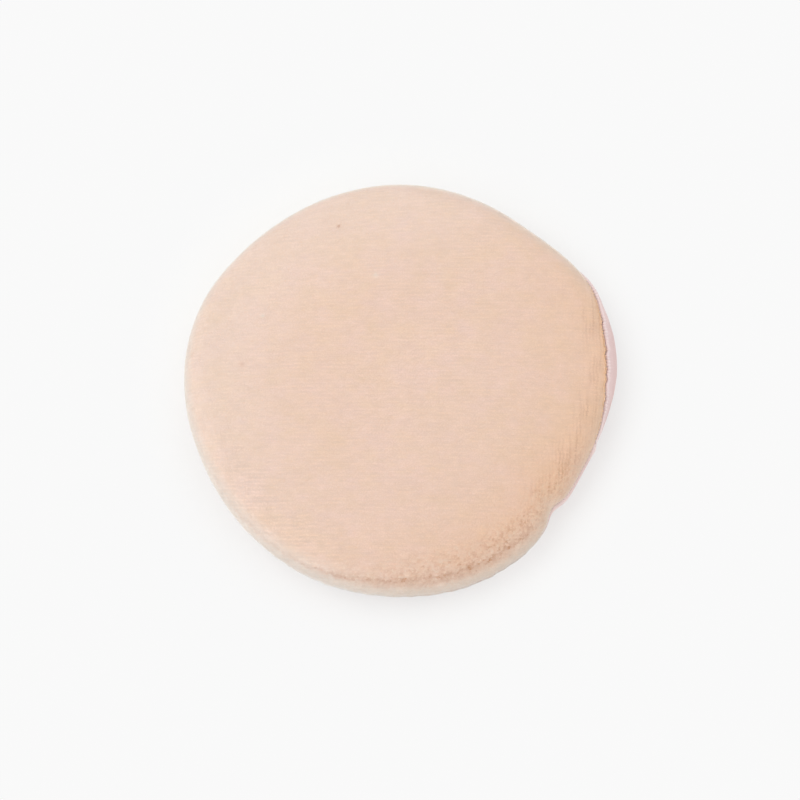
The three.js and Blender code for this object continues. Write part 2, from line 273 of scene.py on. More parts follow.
@dataclass
class ClothSurface:
    """The outer surface of a cover as a table of points at even steps along each section from the middle.

    A place on it is an angle round the puff and a length along the section, which are also the polar
    coordinates of that place on the cloth as it was cut.
    """

    columns: int = 720
    step: float = 0.1 * MM
    softening: float = 0.7 * MM
    kept_near_seam: tuple[float, float] = (1.04 * MM, 2.6 * MM)
    points: Array = field(default=None, repr=False)
    normals: Array = field(default=None, repr=False)
    lengths: Array = field(default=None, repr=False)
    turned_in: Array = field(default=None, repr=False)

    @classmethod
    def along(cls, profile: Callable[[Array], tuple[Array, int]], upward: bool) -> "ClothSurface":
        """Makes the table from a profile.

        Args:
            profile: Gives for a column of angles their section points from the middle outwards, and the row
                at which the cloth turns in at the seam.
            upward: True if the outer side faces up in the middle.

        Returns:
            The table, whose first column is repeated at its end.
        """
        surface = cls()
        angles = np.linspace(0, 360, surface.columns + 1)
        sections, seam_row = profile(angles[:, None])
        gaps = np.linalg.norm(np.diff(sections, axis=1), axis=-1)
        travelled = np.concatenate([np.zeros((len(angles), 1)), np.cumsum(gaps, axis=1)], axis=1)
        surface.lengths = travelled[:, -1]
        surface.turned_in = travelled[:, seam_row]
        stations = np.arange(0, surface.lengths.max() + surface.step, surface.step)
        even = np.stack([
            np.stack([np.interp(stations, way, line[:, k]) for k in (0, 1)], -1)
            for way, line in zip(travelled, sections)
        ])
        surface.points = placed(angles[:, None], surface.softened(even, stations, surface.turned_in))
        inner = surface.points[:-1]
        around = np.roll(inner, -1, axis=0) - np.roll(inner, 1, axis=0)
        outward = np.gradient(inner, axis=1)
        normals = np.cross(outward, around) * (1 if upward else -1)
        normals[:, 0] = [0, 0, 1 if upward else -1]
        normals = unit(normals)
        surface.normals = np.concatenate([normals, normals[:1]])
        return surface

    def softened(self, sections: Array, stations: Array, turned_in: Array) -> Array:
        """Sections averaged along their length by a bell curve, but kept as they are by the seam.

        Args:
            sections: Section points at even steps, columns by stations by 2.
            stations: Lengths from the middle.
            turned_in: The length of each column at which the cloth turns in.

        Returns:
            The softened sections.
        """
        reach = int(3 * self.softening / self.step)
        weights = bump(np.arange(-reach, reach + 1) * self.step, 0, self.softening * 2**0.5)
        mirrored = sections[:, reach:0:-1] * [-1, 1]
        long = np.concatenate([mirrored, sections, np.repeat(sections[:, -1:], reach, axis=1)], axis=1)
        count = sections.shape[1]
        mean = sum(weight * long[:, k:k + count] for k, weight in enumerate(weights)) / weights.sum()
        free = stepped(turned_in[:, None] - stations[None, :], self.kept_near_seam)[..., None]
        return mean * free + sections * (1 - free)

    def sampled(self, table: Array, angle: Array, length: Array) -> Array:
        """Values of a table at angles and lengths, by straight blends between its four nearest entries."""
        column = np.asarray(angle) % 360 / 360 * self.columns
        row = np.clip(np.asarray(length) / self.step, 0, table.shape[1] - 1.001)
        i, j = column.astype(int), row.astype(int)
        u, v = (column - i)[..., None], (row - j)[..., None]
        left = table[i, j] * (1 - v) + table[i, j + 1] * v
        right = table[i + 1, j] * (1 - v) + table[i + 1, j + 1] * v
        return left * (1 - u) + right * u

    def at(self, angle: Array, length: Array) -> tuple[Array, Array]:
        """Points and outward normals at angles and lengths."""
        return self.sampled(self.points, angle, length), unit(self.sampled(self.normals, angle, length))

    def length_at(self, angle: Array, table: Array) -> Array:
        """A value kept for each column of the table, such as lengths or turned_in, at angles between them."""
        return np.interp(np.asarray(angle) % 360, np.linspace(0, 360, self.columns + 1), table)

    def total(self, angle: Array) -> Array:
        """Length of the whole section at angles, with the turned-in edge."""
        return self.length_at(angle, self.lengths)

    def to_seam(self, angle: Array) -> Array:
        """Length of the section at angles up to where the cloth turns in."""
        return self.length_at(angle, self.turned_in)


@dataclass(frozen=True)
class SeamSizes:
    """How the two covers meet in the visible seam."""

    band_gap: float = 0.16 * MM
    plain_gap: float = 0.06 * MM
    band_end: tuple[float, float] = (24, 30)
    allowance: float = 2.6 * MM
    velour_lip: float = 0.3 * MM
    satin_lip: float = 0.14 * MM
    lip_rows: int = 14
    allowance_rows: int = 8
    flat_rows: int = 90
    rim_rows: int = 120

    def half_gap(self, angle: Array) -> Array:
        """Half the gap between the turned-in edges, which is wider where an end of the band lies in it."""
        from_end = np.minimum(np.abs(wrapped(angle)), 180 - np.abs(wrapped(angle)))
        return self.band_gap + (self.plain_gap - self.band_gap) * stepped(from_end, self.band_end)


SEAM = SeamSizes()


@dataclass(frozen=True)
class SatinSwell:
    """Bumps of the satin where it shows beside the face.

    Each has a height in millimetres, a middle and a spread in the section. The middles of the last two are
    measured from the seam. The stretches are a middle and a spread round the puff.
    """

    side: tuple[float, float, float] = (0.12, 5, 30)
    by_seam: tuple[float, float, float] = (0.1, -8, 10)
    far_end: tuple[float, float, float] = (0.3, -10, 16)
    shown: tuple[float, float] = (46, 22)
    far: tuple[float, float] = (69, 6)

    def at(self, angle: Array, turn: Array) -> Array:
        """How far the satin stands out at an angle round the puff and an angle in the section."""
        from_seam = turn - SHAPE.seam_turn(angle)
        swell = self.side[0] * bump(turn, *self.side[1:])
        swell = swell + self.by_seam[0] * bump(from_seam, *self.by_seam[1:])
        far_end = self.far_end[0] * bump(from_seam, *self.far_end[1:])
        around = wrapped(angle)
        return MM * (swell * bump(around, *self.shown) + far_end * bump(around, *self.far))


SWELL = SatinSwell()


def cover_profile(angle: Array, upper: bool) -> tuple[Array, int]:
    """Sections of a cover's outer surface: over the flat, round the shoulder, round the lip and into the seam.

    The lip is a quarter turn between the rim and the seam, C + (A - C)(1 - sin t) + (D - C)(1 - cos t), where C
    is the sharp corner, A the last point of the rim and D the first point in the seam.

    Args:
        angle: Angles round the puff, as a column.
        upper: True for the face cover and False for the back cover.

    Returns:
        Section points, angles by rows by 2, and the row in the middle of the lip.
    """
    side = 1 if upper else -1
    lip = SEAM.velour_lip if upper else SEAM.satin_lip
    start = SHAPE.rim(angle)[0]
    shares = np.linspace(0, 1, SEAM.flat_rows)[None, :]
    height_of = SHAPE.face_height if upper else SHAPE.back_height
    flat = np.stack(np.broadcast_arrays(start * shares, height_of(angle, start * shares)), -1)
    half_gap = SEAM.half_gap(angle)
    corner_turn = np.degrees(np.arcsin((half_gap + lip) / SHAPE.rim_width))
    last_turn = SHAPE.seam_turn(angle) + side * corner_turn
    turns = side * 90 + (last_turn - side * 90) * np.linspace(0, 1, SEAM.rim_rows)[None, 1:]
    inset = -SWELL.at(angle, turns)
    if upper:
        inset = SHAPE.fold_inset(angle, turns - SHAPE.crease_wander * ripple(angle, (41, 67, 97), 52))
        left = SHAPE.crease_left + SHAPE.crease_ripple * ripple(angle, (59, 83, 131, 173), 53)
        inset = np.where(inset > 0, inset * left, inset)
    shoulder = SHAPE.rim_point(angle, turns, inset)
    corner = SHAPE.seam_point(angle, 0, side * half_gap)
    first_in = SHAPE.seam_point(angle, lip, side * half_gap)
    last_out = shoulder[:, -1:]
    sweep = np.radians(90) * np.linspace(0, 1, SEAM.lip_rows)[None, 1:, None]
    rounded = corner + (last_out - corner) * (1 - np.sin(sweep)) + (first_in - corner) * (1 - np.cos(sweep))
    depths = lip + (SEAM.allowance - lip) * np.linspace(0, 1, SEAM.allowance_rows)[None, 1:]
    inside = SHAPE.seam_point(angle, depths, side * half_gap)
    rows = np.concatenate([flat, shoulder, rounded, inside], axis=1)
    return rows, flat.shape[1] + shoulder.shape[1] + SEAM.lip_rows // 2


def mesh_object(name: str, points: Array, quads: Array, triangles: Array | None = None) -> bpy.types.Object:
    """A mesh object in the scene from whole arrays.

    Args:
        name: The piece's name.
        points: Vertices, any shape by 3.
        quads: Vertex numbers, n by 4.
        triangles: Vertex numbers, n by 3.

    Returns:
        The object, at the origin, smooth shaded.
    """
    triangles = np.zeros((0, 3), int) if triangles is None else triangles
    mesh = bpy.data.meshes.new(name)
    points = np.asarray(points, np.float32).reshape(-1, 3)
    mesh.vertices.add(len(points))
    mesh.vertices.foreach_set("co", points.ravel())
    corners = np.concatenate([quads.ravel(), triangles.ravel()]).astype(np.int32)
    sizes = np.concatenate([np.full(len(quads), 4), np.full(len(triangles), 3)])
    mesh.loops.add(len(corners))
    mesh.loops.foreach_set("vertex_index", corners)
    mesh.polygons.add(len(sizes))
    mesh.polygons.foreach_set("loop_start", np.concatenate([[0], np.cumsum(sizes)[:-1]]).astype(np.int32))
    mesh.update(calc_edges=True)
    mesh.polygons.foreach_set("use_smooth", np.ones(len(sizes), bool))
    piece = bpy.data.objects.new(name, mesh)
    bpy.context.collection.objects.link(piece)
    return piece


def grid_faces(columns: int, rows: int, around: bool, closed: bool) -> Array:
    """Quads of a grid of columns by rows whose point numbers are column * rows + row.

    Args:
        columns: How many columns.
        rows: How many rows in each.
        around: True if the last column joins the first.
        closed: True if the last row joins the first.

    Returns:
        Vertex numbers, n by 4, that face along columns crossed with rows.
    """
    i = np.arange(columns if around else columns - 1)[:, None]
    j = np.arange(rows if closed else rows - 1)[None, :]
    i2, j2 = (i + 1) % columns, (j + 1) % rows
    quads = np.stack(np.broadcast_arrays(i * rows + j, i2 * rows + j, i2 * rows + j2, i * rows + j2), -1)
    return quads.reshape(-1, 4)


def capped_turn(name: str, skins: Array, first: Array, last: Array, flipped: bool) -> bpy.types.Object:
    """A closed body from sections that turn round the puff and run from one point on the axis to another.

    Args:
        name: The piece's name.
        skins: Points, columns by rows by 3.
        first: The point on the axis where every column begins.
        last: The point on the axis where every column ends.
        flipped: Turns the faces round, for a section that runs the other way.

    Returns:
        The object.
    """
    columns, rows = skins.shape[:2]
    quads = grid_faces(columns, rows, True, False)[:, ::-1]
    count = columns * rows
    near = np.arange(columns) * rows
    after = np.roll(near, -1)
    top = np.stack([np.full(columns, count), near, after], -1)
    bottom = np.stack([np.full(columns, count + 1), after + rows - 1, near + rows - 1], -1)
    triangles = np.concatenate([top, bottom])
    if flipped:
        quads, triangles = quads[:, ::-1], triangles[:, ::-1]
    points = np.concatenate([skins.reshape(-1, 3), [first, last]])
    return mesh_object(name, points, quads, triangles)


def give_values(piece: bpy.types.Object, name: str, values: Array) -> None:
    """Stores a vector for each vertex of a piece, for its material to read."""
    attribute = piece.data.attributes.new(name, "FLOAT_VECTOR", "POINT")
    attribute.data.foreach_set("vector", np.ascontiguousarray(values, np.float32).ravel())


def ready(piece: bpy.types.Object, material: bpy.types.Material) -> bpy.types.Object:
    """Gives a piece its material and slot, lets it ride on the body, and logs it."""
    piece.data.materials.append(material)
    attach(piece, BODY)
    LOG.info("%s: %d vertices, %d faces", piece.name, len(piece.data.vertices), len(piece.data.polygons))
    return piece


class Nodes:
    """Adds nodes to a material or to a node group."""

    def __init__(self, tree: bpy.types.NodeTree) -> None:
        """Keeps the tree that the nodes go into."""
        self.tree = tree

    def add(self, kind: str, inputs: dict | None = None, **settings: object) -> bpy.types.Node:
        """A node of a kind, with its settings and its inputs, each a plain value or another node's output."""
        node = self.tree.nodes.new(kind)
        for name, value in settings.items():
            setattr(node, name, value)
        for name, value in (inputs or {}).items():
            if isinstance(value, bpy.types.NodeSocket):
                self.tree.links.new(value, node.inputs[name])
            else:
                node.inputs[name].default_value = value
        return node

    def math(self, operation: str, a: object, b: object = 0.0, clamped: bool = False) -> bpy.types.NodeSocket:
        """A sum, product or other operation on two values."""
        return self.add("ShaderNodeMath", {0: a, 1: b}, operation=operation, use_clamp=clamped).outputs[0]

    def ranged(self, value: object, given: tuple[float, float],
               made: tuple[float, float]) -> bpy.types.NodeSocket:
        """A value moved from one range to another, held at its ends."""
        inputs = {"Value": value, "From Min": given[0], "From Max": given[1]}
        inputs |= {"To Min": made[0], "To Max": made[1]}
        return self.add("ShaderNodeMapRange", inputs).outputs["Result"]

    def mixed(self, share: object, first: object, second: object, blend: str = "MIX") -> bpy.types.NodeSocket:
        """Two colours mixed by a share."""
        node = self.add("ShaderNodeMix", {}, data_type="RGBA", blend_type=blend)
        for socket, value in ((node.inputs[0], share), (node.inputs[6], first), (node.inputs[7], second)):
            if isinstance(value, bpy.types.NodeSocket):
                self.tree.links.new(value, socket)
            else:
                socket.default_value = value
        return node.outputs[2]

    def coloured(self, shader: bpy.types.Node, colour: object, shade: object) -> None:
        """Gives the shader a colour times a grey shade."""
        grey = self.add("ShaderNodeCombineColor", {0: shade, 1: shade, 2: shade}).outputs[0]
        self.tree.links.new(self.mixed(1.0, colour, grey, "MULTIPLY"), shader.inputs["Base Color"])

    def raised(self, shader: bpy.types.Node, height: object, distance: float, strength: float) -> None:
        """Gives the shader a bump from a height."""
        inputs = {"Height": height, "Distance": distance, "Strength": strength}
        node = self.add("ShaderNodeBump", inputs)
        self.tree.links.new(node.outputs["Normal"], shader.inputs["Normal"])

    def toned(self, large: float, small: float, strength: float) -> bpy.types.NodeSocket:
        """Blotches of dye and wear of two sizes, as a value about 0."""
        inputs = {"Vector": self.place(), "Large": 1 / large, "Small": 1 / small, "Strength": strength}
        return self.add("ShaderNodeGroup", inputs, node_tree=SharedGroups.cloth_tone()).outputs["Tone"]

    def place(self) -> bpy.types.NodeSocket:
        """Object coordinates, in metres."""
        return self.add("ShaderNodeTexCoord").outputs["Object"]

    def values(self, name: str) -> tuple[bpy.types.NodeSocket, ...]:
        """The three values of a stored vector, and the vector itself last."""
        stored = self.add("ShaderNodeAttribute", attribute_name=name, attribute_type="GEOMETRY")
        vector = stored.outputs["Vector"]
        parts = self.add("ShaderNodeSeparateXYZ", {0: vector})
        return (*parts.outputs, vector)


def linear(red: int, green: int, blue: int) -> tuple[float, float, float, float]:
    """A colour written as 0 to 255 on a screen, in the shader's linear values."""
    screen = np.array([red, green, blue]) / 255
    light = np.where(screen <= 0.04045, screen / 12.92, ((screen + 0.055) / 1.055) ** 2.4)
    return (*light.tolist(), 1.0)


class SharedGroups:
    """Node groups that several materials use, each made once."""

    @staticmethod
    def made(name: str, inputs: dict[str, tuple[str, object]],
             outputs: dict[str, str]) -> tuple[Nodes, dict, dict]:
        """An empty group with named sockets.

        Args:
            name: The group's name.
            inputs: Each input's kind of socket and first value.
            outputs: Each output's kind of socket.

        Returns:
            Its nodes, its input sockets inside and its output sockets inside, the last two by name.
        """
        group = bpy.data.node_groups.new(name, "ShaderNodeTree")
        for key, (kind, value) in inputs.items():
            socket = group.interface.new_socket(key, in_out="INPUT", socket_type=kind)
            if value is not None:
                socket.default_value = value
        for key, kind in outputs.items():
            group.interface.new_socket(key, in_out="OUTPUT", socket_type=kind)
        nodes = Nodes(group)
        entry, leave = nodes.add("NodeGroupInput"), nodes.add("NodeGroupOutput")
        return nodes, {k: entry.outputs[k] for k in inputs}, {k: leave.inputs[k] for k in outputs}

    @classmethod
    def cloth_tone(cls) -> bpy.types.NodeTree:
        """Blotches of dye and wear on cloth: two sizes of noise, as one value from -Strength to Strength."""
        name = "cloth_tone"
        if name in bpy.data.node_groups:
            return bpy.data.node_groups[name]
        value = "NodeSocketFloat"
        inputs = {
            "Vector": ("NodeSocketVector", None), "Large": (value, 400.0), "Small": (value, 1500.0),
            "Strength": (value, 1.0),
        }
        nodes, given, out = cls.made(name, inputs, {"Tone": value})
        plain = {"Vector": given["Vector"], "Detail": 3.0}
        large = nodes.add("ShaderNodeTexNoise", {**plain, "Scale": given["Large"]})
        small = nodes.add("ShaderNodeTexNoise", {**plain, "Scale": given["Small"]})
        both = nodes.math("ADD", large.outputs["Fac"], small.outputs["Fac"])
        centred = nodes.math("MULTIPLY", nodes.math("SUBTRACT", both, 1.0), given["Strength"])
        nodes.tree.links.new(centred, out["Tone"])
        return nodes.tree

    @classmethod
    def satin_weave(cls) -> bpy.types.NodeTree:
        """Satin weave: long warp floats side by side, each going under a weft thread at staggered places.

        The floats are |sin| ridges across the warp. A dip shows where the place along the warp, moved on by
        two weft threads from each float to the next, comes to its fifth thread.
        """
        name = "satin_weave"
        if name in bpy.data.node_groups:
            return bpy.data.node_groups[name]
        value = "NodeSocketFloat"
        inputs = {"Vector": ("NodeSocketVector", None), "Pitch": (value, 0.00012)}
        nodes, given, out = cls.made(name, inputs, {"Height": value, "Dip": value})
        parts = nodes.add("ShaderNodeSeparateXYZ", {0: given["Vector"]})
        across = nodes.math("DIVIDE", parts.outputs["X"], given["Pitch"])
        along = nodes.math("DIVIDE", parts.outputs["Y"], given["Pitch"])
        ridge = nodes.math("ABSOLUTE", nodes.math("SINE", nodes.math("MULTIPLY", across, np.pi)))
        shifted = nodes.math("ADD", along, nodes.math("MULTIPLY", nodes.math("FLOOR", across), 2.0))
        place = nodes.math("FRACT", nodes.math("DIVIDE", shifted, 5.0))
        dip = nodes.math("LESS_THAN", place, 0.2)
        height = nodes.math("SUBTRACT", ridge, nodes.math("MULTIPLY", dip, 0.6))
        nodes.tree.links.new(height, out["Height"])
        nodes.tree.links.new(dip, out["Dip"])
        return nodes.tree


@dataclass(frozen=True)
class Finish:
    """A material's plain values, shared by every cloth here."""

    name: str
    colour: tuple[float, float, float, float]
    roughness: float
    sheen: float = 0.0
    sheen_roughness: float = 0.5
    sheen_tint: tuple[float, float, float, float] = (1.0, 1.0, 1.0, 1.0)
    specular: float = 0.3

    def started(self) -> tuple[bpy.types.Material, Nodes, bpy.types.Node]:
        """A new material with these values on its shader.

        Returns:
            The material, its nodes, and its Principled shader.
        """
        material = bpy.data.materials.new(self.name)
        material.use_nodes = True
        shader = material.node_tree.nodes["Principled BSDF"]
        shader.inputs["Base Color"].default_value = self.colour
        shader.inputs["Roughness"].default_value = self.roughness
        shader.inputs["Sheen Weight"].default_value = self.sheen
        shader.inputs["Sheen Roughness"].default_value = self.sheen_roughness
        shader.inputs["Sheen Tint"].default_value = self.sheen_tint
        shader.inputs["Specular IOR Level"].default_value = self.specular
        return material, Nodes(material.node_tree), shader


@dataclass(frozen=True)
class PileFinish(Finish):
    """Cut pile: painted shade makes it darker and redder towards the roots, with a tone for each tuft."""

    # Colour of painted shade deep in the pile, at the tufts' roots and on the bed between them.
    root: tuple[float, float, float, float] = linear(232, 196, 170)
    # Pale cream for the painted sheen on the sides and painted light on the lit edges, and for worn pile and
    # pale flecks.
    pale: tuple[float, float, float, float] = linear(248, 237, 227)
    # Dark brown for painted shade in folds, crevices and gaps between wales, and for worn pile and dark flecks.
    fold: tuple[float, float, float, float] = linear(201, 142, 105)
    # Warm orange for painted shade on the side away from the light and in the crevice by the satin, and for worn
    # pile.
    warm_shade_and_wear: tuple[float, float, float, float] = linear(243, 195, 151)
    rosy: tuple[float, float, float, float] = linear(249, 220, 206)
    blotches: tuple[float, float, float] = (4 * MM, 1.3 * MM, 0.02)

    def material(self) -> bpy.types.Material:
        """The material, which reads two stored vectors: tone, height and paleness, and fold, warmth and
        rosiness, which carry painted shade and light besides wear and dye.
        """
        material, nodes, shader = self.started()
        tone, height, pale, _ = nodes.values("pile")
        fold, warm_shade_and_wear, rosy, _ = nodes.values("shade_wear_dye")
        colour = nodes.mixed(rosy, self.colour, self.rosy)
        # Painted shade towards the roots, by the stored height.
        colour = nodes.mixed(height, self.root, colour)
        # Painted sheen and painted light, and pale wear and flecks, by the stored paleness.
        colour = nodes.mixed(pale, colour, self.pale)
        # Painted shade away from the light and by the satin, and wear, by the stored warmth.
        colour = nodes.mixed(warm_shade_and_wear, colour, self.warm_shade_and_wear)
        # Painted shade in folds, crevices and gaps, and wear and flecks, by the stored fold share.
        colour = nodes.mixed(fold, colour, self.fold)
        both = nodes.math("ADD", tone, nodes.toned(*self.blotches))
        nodes.coloured(shader, colour, nodes.math("ADD", both, 0.5))
        return material


@dataclass(frozen=True)
class SatinFinish(Finish):
    """Satin weave on the cloth's own coordinates, glossier along its floats."""

    pitch: float = 0.12 * MM
    relief: float = 0.012 * MM
    # Pale colour: a painted highlight on the satin back, and the paler woven edges of the ribbon.
    pale: tuple[float, float, float, float] = linear(254, 246, 245)
    # Deeper colour of the satin back: partly its own, partly painted shade away from the seam.
    deep: tuple[float, float, float, float] = linear(214, 182, 179)
    blotches: tuple[float, float, float] = (5 * MM, 0.9 * MM, 0.06)
    dip_dark: float = 0.07

    def material(self) -> bpy.types.Material:
        """The material, which reads the stored place on the flat cloth, and the stored shares pale and deep: on
        the satin back a painted highlight and a deeper colour that is partly painted shade.
        """
        material, nodes, shader = self.started()
        pale, deep, _, _ = nodes.values("tint")
        colour = nodes.mixed(pale, self.colour, self.pale)
        colour = nodes.mixed(deep, colour, self.deep)
        inputs = {"Vector": nodes.values("flat")[3], "Pitch": self.pitch}
        weave = nodes.add("ShaderNodeGroup", inputs, node_tree=SharedGroups.satin_weave())
        tone = nodes.math("ADD", nodes.toned(*self.blotches), 1.0)
        dips = nodes.math("MULTIPLY", weave.outputs["Dip"], self.dip_dark)
        nodes.coloured(shader, colour, nodes.math("SUBTRACT", tone, dips))
        height = weave.outputs["Height"]
        rough = nodes.ranged(height, (-0.6, 1.0), (self.roughness + 0.12, self.roughness - 0.04))
        nodes.tree.links.new(rough, shader.inputs["Roughness"])
        nodes.raised(shader, height, self.relief, 0.5)
        return material


@dataclass(frozen=True)
class FoamFinish(Finish):
    """Open-cell foam: fine cells with painted shade in their hollows."""

    cell: float = 0.35 * MM

    def material(self) -> bpy.types.Material:
        """The material, with cells on Object coordinates."""
        material, nodes, shader = self.started()
        inputs = {"Vector": nodes.place(), "Scale": 1 / self.cell}
        cells = nodes.add("ShaderNodeTexVoronoi", inputs, feature="F1").outputs["Distance"]
        # Painted shade, darkest in the middle of each cell.
        nodes.coloured(shader, self.colour, nodes.ranged(cells, (0.1, 0.7), (0.78, 1.04)))
        nodes.raised(shader, cells, 0.1 * MM, 0.8)
        return material


@dataclass(frozen=True)
class ThreadFinish(Finish):
    """Spun thread: fine fibres along its length over the twist of its plies, with painted shade in the valleys
    between them.
    """

    def material(self) -> bpy.types.Material:
        """The material, which reads the stored place along and round the thread, and how deep each point lies
        between plies, for painted shade.
        """
        material, nodes, shader = self.started()
        _, _, deep, vector = nodes.values("twist")
        fibres = nodes.add("ShaderNodeTexNoise", {"Vector": vector, "Scale": 9.0, "Detail": 2.0}).outputs["Fac"]
        # Painted shade in the valleys between the plies.
        ply_valley_shade = nodes.math("MULTIPLY", deep, -0.25)
        shade = nodes.math("ADD", nodes.ranged(fibres, (0.3, 0.7), (0.9, 1.06)), ply_valley_shade)
        nodes.coloured(shader, self.colour, shade)
        nodes.raised(shader, fibres, 0.01 * MM, 0.5)
        return material


PILE = PileFinish("velour_pile", linear(247, 218, 196), 0.92, sheen=0.9, sheen_roughness=0.35)
SATIN = SatinFinish("pink_satin", linear(224, 198, 196), 0.45, sheen=0.05, specular=0.4)
RIBBON = SatinFinish("satin_ribbon", linear(233, 208, 204), 0.38, sheen=0.1, specular=0.5, pitch=0.15 * MM)
FOAM = FoamFinish("soft_foam", linear(240, 228, 206), 0.9)
THREAD = ThreadFinish("sewing_thread", linear(238, 216, 210), 0.6, sheen=0.1)


@dataclass(frozen=True)
class Fleck:
    """A mark on the face: its place in the photograph, its size, and how dark it is, negative if it is pale.

    The middle of the face is at middle in the photograph, which shows the cloth's two ways at two scales.
    """

    across: float
    down: float
    size: float
    dark: float
    middle: tuple[float, float] = (401, 377)
    pixels_along: float = 7.2 / MM
    pixels_ahead: float = 6.76 / MM

    def share(self, u: Array, v: Array) -> Array:
        """1 in the middle of the mark and 0 away from it, on the flat cloth."""
        right = (self.across - self.middle[0]) / self.pixels_along
        ahead = (self.middle[1] - self.down) / self.pixels_ahead
        return np.exp(-((u - right) ** 2 + (v - ahead) ** 2) / self.size**2)


FLECKS = (
    Fleck(337, 225, 0.22 * MM, 0.6),
    Fleck(242, 364, 0.42 * MM, 0.22),
    Fleck(187, 350, 0.3 * MM, 0.2),
    Fleck(261, 315, 0.3 * MM, -0.5),
    Fleck(375, 278, 0.4 * MM, -0.45),
)


@dataclass(frozen=True)
class Places:
    """Places on the face cover, as the marks on its pile need them."""

    u: Array
    v: Array
    around: Array
    turn: Array
    inset: Array
    to_seam: Array

    def noise(self, size: float, seed: int, u_share: float = 1, v_share: float = 1) -> Array:
        """Noise on the flat cloth, drawn out along its rows or across them where a share is below 1."""
        return patches(u_share * self.u, v_share * self.v, size, seed)

    def between(self, starts: tuple[float, float], ends: tuple[float, float]) -> Array:
        """1 on a stretch round the puff and 0 off it, with soft ends."""
        return stepped(self.around, starts) * (1 - stepped(self.around, ends))

    def facing(self, along: float, ahead: float) -> Array:
        """Cosine of the angle between a place's direction from the middle and a direction on the flat cloth."""
        return (self.u * along + self.v * ahead) / np.maximum(np.hypot(self.u, self.v), MM)


